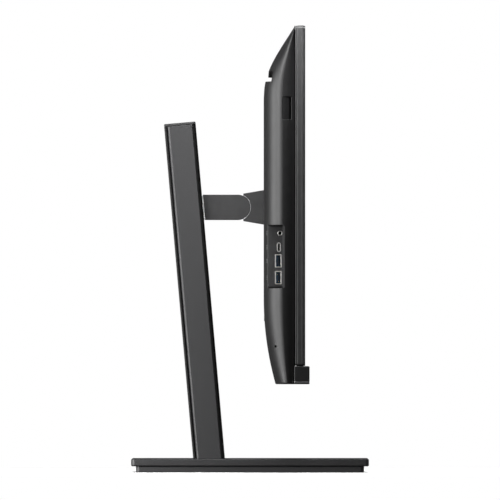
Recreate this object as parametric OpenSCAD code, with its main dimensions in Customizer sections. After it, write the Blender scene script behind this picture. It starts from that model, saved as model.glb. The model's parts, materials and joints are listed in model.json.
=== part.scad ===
// All-in-one computer with a 27-inch screen on a leaning, height-adjustable stand.
// Millimetres. +Z is up, the screen faces -Y, and the origin is under the middle of the base.

/* [Display head] */
// Width of the display head
head_w = 614; // [600:1:640]
// Height of the lower edge of the head above the desk
head_bottom = 96; // [90:1:110]
// Height of the head from its lower to its upper edge
head_h = 386.5; // [380:0.5:395]
// Distance of the screen surface in front of the middle of the base
screen_y = 59.5; // [55:0.5:65]
// Depth of the front frame, from the screen surface to the seam with the rear cover
frame_depth = 12.3; // [11:0.1:14]
// Depth of the rear cover behind that seam
cover_depth = 32.1; // [30:0.1:34]
// Wall thickness of the rear cover
cover_wall = 2.5; // [2:0.1:3]
// Height of the speaker bar under the screen
bar_h = 19.5; // [18:0.5:22]
// How far the speaker bar stands out in front of the screen
bar_out = 4.7; // [3:0.1:6]

/* [Stand] */
// Width of the base plate
base_w = 280; // [250:1:300]
// Depth of the base plate
base_d = 258; // [240:1:270]
// Height of the top of the base above the desk
base_top = 14.7; // [12:0.1:18]
// Thickness of the upper plate of the base
plate_t = 7.9; // [6:0.1:9]
// How far the lower plate of the base is set in from the upper one
plate_step = 5.2; // [4:0.1:7]
// Width of the column
column_w = 76; // [70:1:84]
// Thickness of the column, square to its length
column_t = 34.4; // [32:0.1:36]
// Length of the column along its own axis
column_len = 367; // [360:1:375]
// Backward lean of the column, in degrees
column_lean = 5; // [4:0.5:6]

/* [Lift and tilt] */
// Height of the tilt axis above the desk
tilt_z = 288.5; // [284:0.5:292]
// Distance of the tilt axis behind the middle of the base
tilt_y = 13.3; // [12:0.1:14]
// Radius of the arm's round end
arm_r = 13.7; // [12:0.1:14]
// Width of the arm
arm_w = 46; // [42:1:50]
// Travel of the arm below its middle position
lift_down = 65; // [50:1:65]
// Travel of the arm above its middle position
lift_up = 60; // [40:1:60]

/* [Ports] */
// Hole spacing of the wall-mount pattern
mount_pitch = 100; // [75:25:100]
// How far the side port panel lies inside the widest part of the head
port_inset = 16.5; // [15:0.1:18]

/* [Hidden] */
$fn = 64;

gap = 0.1;
head_top = head_bottom + head_h;
half_w = head_w / 2;
front_y = -screen_y;
seam_y = front_y + frame_depth;
rear_y = seam_y + cover_depth;
glass_t = 1.3;
bar_top = head_bottom + bar_h;
active_w = 597.9;
active_top = head_top - 11;

split_z = base_top - plate_t;
foot_t = 1;
column_y = 44.6;
column_wall = 2.2;
inner_x = column_w / 2 - column_wall;
inner_y = column_t / 2 - column_wall;
arm_at = (tilt_z - base_top) * cos(column_lean) + 0.6;
neck_w = 16;
neck_h = 26;
slot_w = 17;
rail_x = 24;
rail_r = 3.5;
rail_y = -7.6;
socket_r = arm_r + 0.8;
pin_r = 4;
lug_x = 10.8;
fork_x = 12.1;
core_x = arm_w / 2 - 3;

mount_floor = rear_y - cover_wall;
port_x = -(half_w - port_inset);

// ---------- shared shapes ----------

module round_rect(w, h, r) {
    square([w - 2 * r, h], center = true);
    square([w, h - 2 * r], center = true);
    for (x = [-1, 1], y = [-1, 1])
        translate([x * (w / 2 - r), y * (h / 2 - r)]) circle(r);
}

module pill(w, h) {
    round_rect(w, h, min(w, h) / 2 - 0.001);
}

// A flat shape in X and Z, given thickness between two Y planes.
module slab_xz(y0, y1) {
    translate([0, y1, 0]) rotate([90, 0, 0]) linear_extrude(y1 - y0) children();
}

// A flat shape in Y and Z, given thickness between two X planes.
module slab_yz(x0, x1) {
    translate([x0, 0, 0]) rotate([90, 0, 90]) linear_extrude(x1 - x0) children();
}

module box(low, high) {
    translate(low) cube(high - low);
}

module rod_x(x0, x1, y, z, r) {
    translate([x0, y, z]) rotate([0, 90, 0]) cylinder(r = r, h = x1 - x0);
}

module rod_y(y0, y1, x, z, r) {
    translate([x, y1, z]) rotate([90, 0, 0]) cylinder(r = r, h = y1 - y0);
}

// The column's own frame: origin on its axis at the top of the base, +Z along the column.
module in_column() {
    translate([0, column_y, base_top]) rotate([-column_lean, 0, 0]) children();
}

module above_base() {
    intersection() {
        children();
        box([-200, -200, base_top], [200, 300, 600]);
    }
}

module mirror_copy() {
    children();
    mirror([1, 0, 0]) children();
}

// ---------- base ----------

foot_spots = [for (x = [-1, 0, 1], y = [-1, 1]) [x * (base_w / 2 - 26), y * (base_d / 2 - 26)]];
base_bolts = [for (x = [-22, 22], y = [-6, 8]) [x, column_y + y]];
edge_chamfer = 0.6;

module base_bolt_holes(r, z0, z1) {
    for (p = base_bolts) translate([p[0], p[1], z0]) cylinder(r = r, h = z1 - z0);
}

module base_plate() {
    color("#3a3a3c") difference() {
        union() {
            translate([0, 0, split_z]) linear_extrude(plate_t - edge_chamfer)
                round_rect(base_w, base_d, 6);
            translate([0, 0, base_top - edge_chamfer]) linear_extrude(edge_chamfer)
                round_rect(base_w - 2 * edge_chamfer, base_d - 2 * edge_chamfer, 6 - edge_chamfer);
        }
        base_bolt_holes(2.7, split_z - 1, base_top + 1);
    }
}

module ballast_plate() {
    color("#2e2e30") difference() {
        translate([0, 0, foot_t]) linear_extrude(split_z - foot_t)
            round_rect(base_w - 2 * plate_step, base_d - 2 * plate_step, 4);
        base_bolt_holes(2.7, 0, base_top);
        base_bolt_holes(5.2, 0, foot_t + 3.2);
    }
}

module base_feet() {
    color("#1c1c1c") for (p = foot_spots) translate([p[0], p[1], 0]) cylinder(r = 9, h = foot_t);
}

module base_screws() {
    color("silver") for (p = base_bolts) translate([p[0], p[1], foot_t + 0.2]) difference() {
        union() {
            cylinder(r = 4.8, h = 3);
            cylinder(r = 2.45, h = 21);
        }
        translate([0, 0, -1]) cylinder(r = 1.5, h = 3, $fn = 6);
    }
}

// ---------- column ----------

cap_t = 2.6;
slot_low = arm_at - lift_down - neck_h / 2 - 2;
slot_high = arm_at + lift_up + neck_h / 2 + 2;
corner_r = 4.5;
seam_w = 0.2;
back_t = 1.5;
back_y = column_t / 2 - back_t;
inner_h = 2 * inner_y - 4;

// The column's outline: round corners in front, square ones behind.
module column_section() {
    round_rect(column_w, column_t, corner_r);
    translate([0, corner_r / 2]) square([column_w, column_t - corner_r], center = true);
}

module column_shell() {
    color("#48484a") above_base() in_column() difference() {
        translate([0, 0, -6]) linear_extrude(column_len - cap_t + 6) difference() {
            column_section();
            translate([-inner_x, -inner_y]) square([2 * inner_x, column_t]);
            translate([-column_w, back_y - seam_w]) square([2 * column_w, column_t]);
        }
        translate([0, -column_t / 2, (slot_low + slot_high) / 2])
            cube([slot_w, 8, slot_high - slot_low], center = true);
    }
}

module column_rear_cover() {
    color("#404042") above_base() in_column() {
        translate([-column_w / 2, back_y, -6]) cube([column_w, back_t, column_len - cap_t + 6]);
        mirror_copy() translate([inner_x - 2.2, inner_y - 2.6, -6])
            cube([2, back_y - inner_y + 2.7, column_len - cap_t + 6]);
    }
}

module column_cap() {
    color("#333335") in_column() {
        translate([0, 0, column_len - cap_t]) linear_extrude(cap_t) column_section();
        translate([0, -1, column_len - cap_t - 2]) linear_extrude(4) difference() {
            square([2 * inner_x - 0.4, inner_h], center = true);
            square([2 * inner_x - 4, inner_h - 4], center = true);
        }
    }
}

foot_h = 22;

module rail_holes(z0, z1, r) {
    for (s = [-1, 1]) translate([s * rail_x, rail_y, z0]) cylinder(r = r, h = z1 - z0);
}

module column_foot() {
    color("#8a8c90") difference() {
        above_base() in_column() translate([0, -1, foot_h / 2 - 3])
            cube([2 * inner_x - 0.6, inner_h, foot_h + 6], center = true);
        in_column() rail_holes(foot_h - 10, foot_h + 10, rail_r + 0.05);
        base_bolt_holes(2.5, base_top - 1, base_top + 9);
    }
}

bridge_t = 6;
bridge_z = column_len - cap_t - 2 - 1 - bridge_t;

module rail_bridge() {
    color("#8a8c90") in_column() difference() {
        translate([-inner_x + 0.3, -1 - inner_h / 2, bridge_z])
            cube([2 * inner_x - 0.6, inner_h, bridge_t]);
        rail_holes(bridge_z - 1, bridge_z + bridge_t + 1, rail_r + 0.05);
    }
}

module guide_rails() {
    color("silver") in_column() rail_holes(foot_h - 9.9, bridge_z + bridge_t, rail_r);
}

// ---------- gas spring ----------

spring_y = 6.5;
cylinder_low = foot_h + 0.1;
cylinder_len = 182;
cylinder_r = 7.4;
rod_r = 3.2;
carriage_below = 50;
carriage_above = 14;
lug_low = 2;
piston_z = cylinder_low + 5 + lift_down;

module gas_spring_cylinder() {
    color("#2a2a2c") in_column() translate([0, spring_y, cylinder_low]) difference() {
        cylinder(r = cylinder_r, h = cylinder_len);
        translate([0, 0, 4]) cylinder(r = cylinder_r - 1.2, h = cylinder_len - 9);
        translate([0, 0, cylinder_len - 6]) cylinder(r = rod_r + 0.08, h = 7);
    }
}

module gas_spring_rod() {
    color("silver") in_column() translate([0, spring_y, piston_z]) {
        cylinder(r = rod_r, h = arm_at + lug_low - piston_z);
        cylinder(r = cylinder_r - 1.6, h = 6);
    }
}

// ---------- carriage and arm ----------

carriage_front = -13.6;
carriage_back = -1.6;
bush_r = 5;
arm_gap = 1.27;
front_face = -column_t / 2;
neck_end = front_face - arm_gap - 5;
bush_len = 12;
arm_screw_x = 4.6;
arm_screw_z = -5;

module at_bushes() {
    for (s = [-1, 1], z = [-carriage_below, carriage_above - bush_len])
        translate([s * rail_x, rail_y, z]) children();
}

module lift_carriage() {
    color("#b9bcc0") in_column() translate([0, 0, arm_at]) difference() {
        union() {
            box([-inner_x + 1.5, carriage_front, -carriage_below],
                [inner_x - 1.5, carriage_back, carriage_above]);
            box([-neck_w / 2, neck_end, -neck_h / 2], [neck_w / 2, carriage_front + 1, neck_h / 2]);
            box([-9, carriage_back - 1, lug_low], [9, inner_y - 1, carriage_above]);
        }
        for (s = [-1, 1]) translate([s * rail_x, rail_y, -carriage_below - 1])
            cylinder(r = rail_r + 0.8, h = carriage_below + carriage_above + 2);
        at_bushes() translate([0, 0, -0.01]) cylinder(r = bush_r + 0.1, h = bush_len + 0.02);
        for (s = [-1, 1]) {
            rod_y(neck_end - 1, carriage_back + 1, s * arm_screw_x, arm_screw_z, 2.2);
            rod_y(carriage_back - 3.6, carriage_back + 1, s * arm_screw_x, arm_screw_z, 4.1);
        }
    }
}

module guide_bushes() {
    color("#e8e6df") in_column() translate([0, 0, arm_at]) at_bushes() difference() {
        cylinder(r = bush_r, h = bush_len);
        translate([0, 0, -1]) cylinder(r = rail_r + 0.08, h = bush_len + 2);
    }
}

module arm_outline(trim) {
    difference() {
        union() {
            translate([tilt_y, tilt_z]) circle(arm_r);
            translate([tilt_y, tilt_z - arm_r]) square([60, 2 * arm_r]);
        }
        translate([column_y, base_top]) rotate(-column_lean)
            translate([front_face - arm_gap - trim, 0]) square([100, 600]);
    }
}

module arm_body() {
    color("#4a4a4c") difference() {
        slab_yz(-core_x, core_x) arm_outline(0);
        box([-fork_x, tilt_y - 20, tilt_z - 20], [fork_x, tilt_y + 13, tilt_z + 20]);
        in_column() translate([-neck_w / 2 - gap, neck_end - gap, arm_at - neck_h / 2 - gap])
            cube([neck_w + 2 * gap, 20, neck_h + 2 * gap]);
        in_column() for (s = [-1, 1])
            rod_y(neck_end - 10, neck_end + 1, s * arm_screw_x, arm_at + arm_screw_z, 2.05);
        rod_x(-core_x - 1, core_x + 1, tilt_y, tilt_z, pin_r + 0.05);
        for (s = [-1, 1]) rod_x(s * (core_x - 1) - 1.1, s * (core_x - 1) + 1.1, tilt_y, tilt_z, 7.2);
    }
}

module arm_cover(side) {
    x0 = side < 0 ? -arm_w / 2 : core_x + gap;
    color("#4a4a4c") slab_yz(x0, x0 + 3 - gap) arm_outline(0);
}

module arm_cover_left() { arm_cover(-1); }

module arm_cover_right() { arm_cover(1); }

module arm_screws() {
    color("silver") in_column() for (s = [-1, 1]) {
        rod_y(neck_end - 9, carriage_back - 2, s * arm_screw_x, arm_at + arm_screw_z, 2);
        rod_y(carriage_back - 3.5, carriage_back - 0.6, s * arm_screw_x, arm_at + arm_screw_z, 3.8);
    }
}

module hinge_pin() {
    color("silver") {
        rod_x(-core_x + 0.2, core_x - 0.2, tilt_y, tilt_z, pin_r);
        for (s = [-1, 1]) rod_x(s * (core_x - 1) - 0.8, s * (core_x - 1) + 0.8, tilt_y, tilt_z, 7);
    }
}

module friction_washers() {
    color("#8f9296") for (s = [-1, 1]) difference() {
        rod_x(s * (lug_x + 0.6) - 0.5, s * (lug_x + 0.6) + 0.5, tilt_y, tilt_z, 9);
        rod_x(s * (lug_x + 0.6) - 1, s * (lug_x + 0.6) + 1, tilt_y, tilt_z, pin_r + 0.05);
    }
}

// ---------- tilt bracket and its mounting on the head ----------

flare_y = tilt_y - 6;
flare_near = 14.9;
flare_far = 18.8;
bracket_plate = 86;
screw_pitch = 75;
plate_rear = mount_floor + 2.3;
head_y = plate_rear - 1.4;

module screw_spots(pitch) {
    for (x = [-1, 1], z = [-1, 1])
        translate([x * pitch / 2, 0, tilt_z + z * pitch / 2]) children();
}

module tilt_bracket() {
    color("#4a4a4c") difference() {
        union() {
            difference() {
                slab_yz(-arm_w / 2, arm_w / 2) polygon([
                    [flare_y, tilt_z - flare_near], [flare_y, tilt_z + flare_near],
                    [plate_rear - 1, tilt_z + flare_far], [plate_rear - 1, tilt_z - flare_far]
                ]);
                rod_x(-60, 60, tilt_y, tilt_z, socket_r);
            }
            rod_x(-lug_x, lug_x, tilt_y, tilt_z, 11.5);
            box([-lug_x, tilt_y - 18, tilt_z - 7], [lug_x, tilt_y, tilt_z + 7]);
            translate([0, 0, tilt_z]) slab_xz(mount_floor, plate_rear)
                round_rect(bracket_plate, bracket_plate, 5);
        }
        rod_x(-60, 60, tilt_y, tilt_z, pin_r + 0.05);
        screw_spots(screw_pitch) {
            rod_y(mount_floor - 1, plate_rear + 20, 0, 0, 2.2);
            rod_y(head_y, plate_rear + 20, 0, 0, 3.8);
        }
    }
}

module hinge_liner() {
    color("#c9cbce") difference() {
        intersection() {
            rod_x(-arm_w / 2, arm_w / 2, tilt_y, tilt_z, socket_r - 0.05);
            box([-60, tilt_y - 30, tilt_z - 13.6], [60, flare_y + 0.1, tilt_z + 13.6]);
        }
        rod_x(-60, 60, tilt_y, tilt_z, arm_r + 0.3);
        box([-lug_x - 0.1, tilt_y - 30, tilt_z - 7.1], [lug_x + 0.1, tilt_y, tilt_z + 7.1]);
    }
}

module mount_screws() {
    color("silver") screw_spots(screw_pitch) {
        rod_y(mount_floor - 6, plate_rear - 0.5, 0, 0, 1.95);
        rod_y(head_y + gap, plate_rear - 0.1, 0, 0, 3.6);
    }
}

frame_w = 134;
chassis_y = seam_y + 1.2;

module mount_frame() {
    color("#9b9da1") difference() {
        union() {
            translate([0, 0, tilt_z]) slab_xz(mount_floor - 3, mount_floor) round_rect(frame_w, frame_w, 3);
            for (p = [mount_pitch, screw_pitch]) screw_spots(p) rod_y(mount_floor - 7, mount_floor - 1, 0, 0, 4);
            mirror_copy() box([frame_w / 2 - 2, chassis_y, tilt_z - 60], [frame_w / 2, mount_floor - 1, tilt_z + 60]);
        }
        for (p = [mount_pitch, screw_pitch]) screw_spots(p) rod_y(mount_floor - 8, mount_floor + 1, 0, 0, 2);
    }
}

// ---------- rear cover ----------

side_reach = 44;
side_margin = 1;
widest_at = 0.4;
undercut_r = 23;
undercut_angle = 34;
slope_top = 75;
slope_bottom = 93;
bottom_loss = 0.387;

// Share of the cover's full depth at height z.
function depth_share(z) =
    let (u = (head_top - z) / slope_top, v = (z - head_bottom) / slope_bottom)
    u < 1 ? max(0.02, 1 - pow(1 - u, 1.4 + 0.6 * u))
    : v < 1 ? 1 - bottom_loss * pow(1 - v, 2)
    : 1;

// Half of the cover's outline in plan: [distance from the middle, share of the depth].
// With skirt, it first runs straight down past the seam, where the share is below nothing.
function cover_half(inset, skirt) = concat(
    skirt > 0 ? [[half_w - side_margin - inset - undercut_r * (1 - cos(undercut_angle)), -1]] : [],
    [for (t = [-undercut_angle : undercut_angle / 3 : -0.1])
        [half_w - side_margin - inset - undercut_r * (1 - cos(t)),
         widest_at * (1 + sin(t) / sin(undercut_angle))]],
    [for (t = [0 : 11.25 : 90])
        [half_w - side_margin - inset - side_reach * (1 - cos(t)),
         widest_at + (1 - widest_at) * sin(t)]]
);

function cover_outline(inset, skirt) =
    let (half = cover_half(inset, skirt), n = len(half))
    concat([for (p = half) [-p[0], p[1]]], [for (k = [n - 1 : -1 : 0]) half[k]]);

function cover_levels(low, high) = concat(
    [for (k = [0 : 5]) low + (head_bottom + slope_bottom - low) * k / 5],
    [for (k = [0 : 11]) high - (high - head_top + slope_top) * pow(1 - k / 11, 1.3)]
);

module cover_loft(low, high, inset, wall, skirt) {
    outline = cover_outline(inset, skirt);
    levels = cover_levels(low, high);
    n = len(outline);
    m = len(levels);
    points = [for (z = levels, p = outline)
        [p[0], seam_y + (p[1] < 0 ? -skirt : (cover_depth * depth_share(z) - wall) * p[1]), z]];
    sides = [for (j = [0 : m - 2], k = [0 : n - 1])
        let (a = j * n + k, b = j * n + (k + 1) % n)
        each [[a, b, b + n], [a, b + n, a + n]]];
    polyhedron(points, concat(sides,
        [[for (k = [n - 1 : -1 : 0]) k]], [[for (k = [0 : n - 1]) (m - 1) * n + k]]), convexity = 6);
}

groove_low = 422.4;
groove_high = 433.2;

// The exhaust groove across the back, grown by a wall thickness.
module exhaust_groove(grow) {
    slab_yz(-half_w, half_w) polygon([
        [rear_y - 9.6 - grow, groove_high + grow], [rear_y - 7.8 - grow, groove_low - grow],
        [rear_y + 20, groove_low - grow], [rear_y + 20, groove_high + grow]
    ]);
}

module vent_field(x0, x1, z0, z1, pitch, w, h) {
    for (x = [x0 : pitch : x1], z = [z0 : h + 5 : z1])
        translate([x, 0, z]) slab_xz(rear_y - 12, rear_y + 5) square([w, h], center = true);
}

side_ports_low = 199.6;
side_ports_high = 267.6;
side_ports_front = -36.7;
side_ports_rear = -19.4;
bay_x0 = -232;
bay_x1 = -84;
bay_z0 = 146;
bay_z1 = 186;
bay_front = seam_y + 6;
card_y = -43.6;
card_z = 393.6;
cover_screw_spots = [for (x = [-241, 241], z = [168, 396]) [x, z]];
lock_x = 250;
lock_z = 212;

// The bare shell with its screw bosses and the walls of the groove, brought to its exact width.
module cover_shell() {
    resize([2 * (half_w - side_margin), 0, 0]) difference() {
        cover_loft(head_bottom, head_top, 0, 0, 0);
        difference() {
            cover_loft(head_bottom + cover_wall, head_top - 11, cover_wall, cover_wall, 3);
            exhaust_groove(cover_wall - 0.3);
            for (p = cover_screw_spots) rod_y(seam_y + 1.2, rear_y, p[0], p[1], 5);
        }
    }
}

module rear_cover() {
    color("#444446") difference() {
        cover_shell();
        exhaust_groove(0);
        for (x = [-162 : 9 : 162])
            box([x - 2.6, rear_y - 20, groove_low + 2], [x + 2.6, rear_y, groove_high - 2]);
        vent_field(92, 236, 222, 250, 8, 3, 20);
        vent_field(-236, -92, 222, 250, 8, 3, 20);
        translate([0, 0, tilt_z]) slab_xz(rear_y - 8, rear_y + 5) round_rect(126, 126, 5);
        box([-half_w - 5, side_ports_front, side_ports_low], [port_x + 2.2, side_ports_rear + 0.4, side_ports_high]);
        box([bay_x0, rear_y - 8, bay_z0], [bay_x1, rear_y + 5, bay_z1]);
        translate([-half_w, card_y, card_z]) cube([24, 2.3, 24.6], center = true);
        translate([-half_w, card_y + 5, card_z]) cube([7.4, 6.4, 24.2], center = true);
        box([-half_w, -28.6, 135.9], [-half_w + 24, -26.4, 138.1]);
        for (p = cover_screw_spots) {
            rod_y(seam_y - 5, rear_y + 5, p[0], p[1], 1.7);
            rod_y(rear_y - 2.5, rear_y + 5, p[0], p[1], 3.4);
        }
        translate([lock_x, 0, lock_z]) slab_xz(rear_y - 12, rear_y + 5) square([7.2, 3.2], center = true);
    }
}

module cover_screws() {
    color("#1d1d1f") for (p = cover_screw_spots) {
        rod_y(seam_y + 4, rear_y - 3, p[0], p[1], 1.5);
        rod_y(rear_y - 2.4, rear_y - 0.4, p[0], p[1], 3);
        rod_y(rear_y - 3.1, rear_y - 2.3, p[0], p[1], 1.6);
    }
}

// ---------- front frame, screen and chassis ----------

bezel_wall = 2;
groove_y = -50.2;

module bezel_ring(w, h, r) {
    translate([0, (head_top + bar_top) / 2]) round_rect(w, h, r);
}

screen_h = head_top - bar_top;

module front_bezel() {
    color("#505052") difference() {
        slab_xz(front_y + glass_t, seam_y - 0.5) bezel_ring(head_w, screen_h, 3);
        slab_xz(front_y, seam_y - 2.5) bezel_ring(head_w - 2 * bezel_wall, screen_h - 2 * bezel_wall, 1);
        slab_xz(front_y, seam_y + 1) bezel_ring(head_w - 24, screen_h - 24, 2);
        difference() {
            slab_xz(groove_y - 0.3, groove_y + 0.3) bezel_ring(head_w + 4, screen_h + 4, 3);
            slab_xz(groove_y - 1, groove_y + 1) bezel_ring(head_w - 0.8, screen_h - 0.8, 2.6);
        }
        box([-4.2, front_y + 1.4, head_top - 1], [11.2, front_y + 6.2, head_top + 1]);
        box([-0.7, front_y + 1.4, head_top - 3], [7.7, front_y + 4.2, head_top + 1]);
    }
}

module screen_glass() {
    color("#101012") slab_xz(front_y, front_y + glass_t) bezel_ring(head_w - 0.6, screen_h - 0.6, 3);
}

module backlight_module() {
    color("#9a9ca0") difference() {
        box([-active_w / 2 - 4, front_y + glass_t + gap, bar_top + 3],
            [active_w / 2 + 4, seam_y - 2.6, active_top + 2.4]);
        box([-250, seam_y - 4, bar_top + 30], [250, seam_y, active_top - 30]);
    }
}

bar_front = front_y - bar_out;
trim_low = 1.6;
trim_t = 1.5;
button_x = 262;
button_z = head_bottom + 5.6;

trim_depth = 2.5;

module trim_channel(clear) {
    difference() {
        box([-half_w - clear, bar_front - clear, head_bottom + trim_low],
            [half_w + clear, seam_y + clear, head_bottom + trim_low + trim_t]);
        box([-half_w + trim_depth, bar_front + trim_depth, head_bottom],
            [half_w - trim_depth, seam_y + 2, head_bottom + 6]);
    }
}

module speaker_bar() {
    color("#2b2b2d") difference() {
        union() {
            box([-half_w, bar_front, head_bottom], [half_w, seam_y - 0.5, bar_top - gap]);
            box([-half_w + 6, seam_y - 1, head_bottom + 0.2], [half_w - 6, seam_y - gap, bar_top - 4]);
        }
        box([-half_w + 3, bar_front + 2, head_bottom + 4], [half_w - 3, seam_y + 1, bar_top - 2.6]);
        box([-230, bar_front - 1, head_bottom + 6], [230, bar_front + 3, bar_top - 3.5]);
        trim_channel(1);
        translate([button_x, 0, button_z]) slab_xz(bar_front - 1, bar_front + 3) pill(12.4, 3);
    }
}

module speaker_grille() {
    color("#202022") difference() {
        box([-229.9, bar_front + 0.3, head_bottom + 6.1], [229.9, bar_front + 1.5, bar_top - 3.6]);
        for (x = [-220 : 11 : 220]) translate([x, 0, (head_bottom + bar_top) / 2 + 1.2])
            slab_xz(bar_front - 1, bar_front + 3) pill(8, 2.4);
    }
}

module bar_trim() {
    color("#6a6a6d") intersection() {
        trim_channel(0);
        box([-half_w, bar_front + 0.1, head_bottom + trim_low + 0.02],
            [half_w, seam_y - 0.5, head_bottom + trim_low + trim_t - 0.02]);
    }
}

module speaker_left() { speaker(-1); }

module speaker_right() { speaker(1); }

module speaker(side) {
    color("#19191b") translate([side * 130, 0, head_bottom + 10.2]) difference() {
        slab_xz(bar_front + 2.2, seam_y - 2) round_rect(120, 12, 2);
        slab_xz(bar_front + 2, bar_front + 4) pill(96, 8);
    }
    color("#77797d") translate([side * 130, 0, head_bottom + 10.2])
        slab_xz(bar_front + 4, bar_front + 4.6) pill(90, 6);
}

module chassis_plate() {
    color("#a4a6aa") difference() {
        slab_xz(chassis_y - 1.2, chassis_y - gap) translate([0, 290]) square([560, 320], center = true);
        for (x = [-1, 1], z = [180, 400]) rod_y(seam_y - 4, chassis_y + 4, x * 200, z, 9);
        for (p = cover_screw_spots) rod_y(seam_y - 4, chassis_y + 4, p[0], p[1], 6);
    }
}

// ---------- electronics ----------

board_x0 = -266;
board_x1 = -74;
board_z0 = 190;
board_z1 = 404;
board_y = chassis_y + 3;
cpu = [-160, 300];
fan = [20, 389];
fan_r = 24;
fan_y0 = chassis_y + 1;
fan_y1 = chassis_y + 14;

module motherboard() {
    color("#1f5a3a") {
        difference() {
            box([board_x0, board_y, board_z0], [board_x1, board_y + 1.6, board_z1]);
            for (x = [board_x0 + 5, board_x1 - 5], z = [board_z0 + 30, board_z1 - 5])
                rod_y(board_y - 1, board_y + 3, x, z, 1.6);
            for (p = cover_screw_spots) rod_y(board_y - 1, board_y + 3, p[0], p[1], 6);
        }
        translate([cpu[0], 0, cpu[1]]) slab_xz(board_y + 1.6, board_y + 4) square(36, center = true);
        box([-262, board_y + 1.6, 344], [-178, board_y + 5, 350]);
        box([-262, board_y + 1.6, 360], [-178, board_y + 5, 366]);
    }
}

module memory_modules() {
    color("#2c6b45") for (z = [350, 366])
        box([-254, board_y + 2.4, z + 0.2], [-186, board_y + 3.4, z + 9.6]);
}

module ssd_module() {
    color("#173b5c") box([-262, board_y + 2.2, 216], [-182, board_y + 3.6, 238]);
}

module wifi_card() {
    color("#2a6040") box([-118, board_y + 2.2, 372], [-96, board_y + 3.6, 398]);
}

module antennas() {
    color("#d7d7d2") mirror_copy() box([214, chassis_y + 0.2, 440], [256, chassis_y + 1, 450]);
}

pipe_z = 414.3;
pipe_w = 7;

module heat_spreader() {
    color("#b87333") {
        translate([cpu[0], 0, cpu[1]]) slab_xz(board_y + 4, board_y + 6) square(52, center = true);
        rod_path();
    }
    color("#a8aaad") for (x = [-6 : 4 : 46])
        box([x, fan_y0, pipe_z], [x + 0.8, fan_y1 - 2, pipe_z + 5]);
}

module rod_path() {
    slab_xz(board_y + 6, board_y + 9) {
        translate([cpu[0] - 4, cpu[1] - 20]) square([8, pipe_z + pipe_w - cpu[1] + 20]);
        translate([cpu[0] - 4, pipe_z]) square([212, pipe_w]);
    }
}

module fan_housing() {
    color("#232325") difference() {
        translate([fan[0], 0, fan[1]]) slab_xz(fan_y0, fan_y1) round_rect(62, 50, 6);
        rod_y(fan_y0 + 1.5, fan_y1 - 1.2, fan[0], fan[1], fan_r);
        rod_y(fan_y0 + 1, fan_y1 + 1, fan[0], fan[1], 16);
        box([fan[0] - 24, fan_y0 + 1.5, fan[1]], [fan[0] + 24, fan_y1 - 1.2, fan[1] + 30]);
    }
}

module fan_impeller() {
    color("#111113") translate([fan[0], 0, fan[1]]) {
        slab_xz(fan_y0 + 2, fan_y0 + 3) difference() {
            circle(22);
            circle(3.2);
        }
        slab_xz(fan_y0 + 2, fan_y1 - 3) difference() {
            circle(11);
            circle(3.2);
        }
        for (k = [0 : 14]) rotate([0, k * 24, 0])
            translate([14.5, 0, 0]) rotate([0, 30, 0]) box([0, fan_y0 + 2.9, -0.5], [8, fan_y1 - 3, 0.5]);
    }
}

// ---------- side ports ----------

jack = [-32.3, 258.8];
usb_c = [-31.2, 243.6];
usb_a = [-30.6, 228.9];
usb_a_pitch = 18;
panel_x = port_x + 1.8;

module at_port(p) {
    translate([0, p[0], p[1]]) children();
}

module side_port_panel() {
    color("#565658") difference() {
        union() {
            box([port_x, side_ports_front + 0.1, side_ports_low + 1.4],
                [panel_x, side_ports_rear, side_ports_high - 1.4]);
            box([-half_w + 4.2, side_ports_front + 0.1, side_ports_low + 0.1],
                [panel_x, side_ports_front + 1.3, side_ports_high - 0.1]);
            for (z = [side_ports_low + 0.1, side_ports_high - 1.2])
                box([port_x + 0.6, side_ports_front + 0.1, z], [panel_x, side_ports_rear, z + 1.1]);
        }
        at_port(jack) rod_x(port_x - 1, panel_x + 1, 0, 0, 3.35);
        at_port(usb_c) slab_yz(port_x - 1, panel_x + 1) pill(3.5, 9.3);
        for (k = [0, 1]) at_port(usb_a - [0, k * usb_a_pitch])
            slab_yz(port_x - 1, panel_x + 1) square([7.5, 14.5], center = true);
    }
}

module side_board() {
    color("#1f5a3a") box([port_x + 3, -40.6, 196], [port_x + 18, -39.2, 270]);
}

jack_r = 1.8;
jack_len = 14.2;

module audio_jack() {
    color("#c8c8c6") at_port(jack) difference() {
        union() {
            rod_x(port_x + 0.1, port_x + 12, 0, 0, 2.5);
            rod_x(port_x + 0.6, port_x + 12, 0, 0, 3.3);
            box([panel_x + 0.1, -3.5, -3.5], [port_x + jack_len + 2, 3.5, 3.5]);
        }
        rod_x(port_x - 1, port_x + 0.1 + jack_len, 0, 0, jack_r);
    }
}

module usb_c_port() {
    color("#c8c8ca") at_port(usb_c) {
        difference() {
            slab_yz(port_x + 0.1, port_x + 8) pill(3.3, 9.1);
            slab_yz(port_x - 1, port_x + 7) pill(2.6, 8.4);
        }
        slab_yz(port_x + 1, port_x + 7.1) square([0.7, 6.6], center = true);
    }
}

module usb_a_shell(k) {
    color("#d0d0d2") at_port(usb_a - [0, k * usb_a_pitch]) difference() {
        union() {
            slab_yz(port_x + 0.1, port_x + 14) square([6.2, 13.4], center = true);
            slab_yz(port_x + 0.1, port_x + 1) square([7.3, 14.3], center = true);
        }
        slab_yz(port_x - 1, port_x + 13.4) square([5.2, 12.5], center = true);
    }
}

module usb_a_shell_upper() { usb_a_shell(0); }

module usb_a_shell_lower() { usb_a_shell(1); }

module usb_a_tongue(k) {
    color("#1e5f9e") at_port(usb_a - [0, k * usb_a_pitch]) {
        slab_yz(port_x + 1.4, port_x + 13.3) translate([1.2, 0]) square([1.9, 11.2], center = true);
        slab_yz(port_x + 12, port_x + 13.3) square([5, 12.2], center = true);
    }
}

module usb_a_tongue_upper() { usb_a_tongue(0); }

module usb_a_tongue_lower() { usb_a_tongue(1); }

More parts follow.
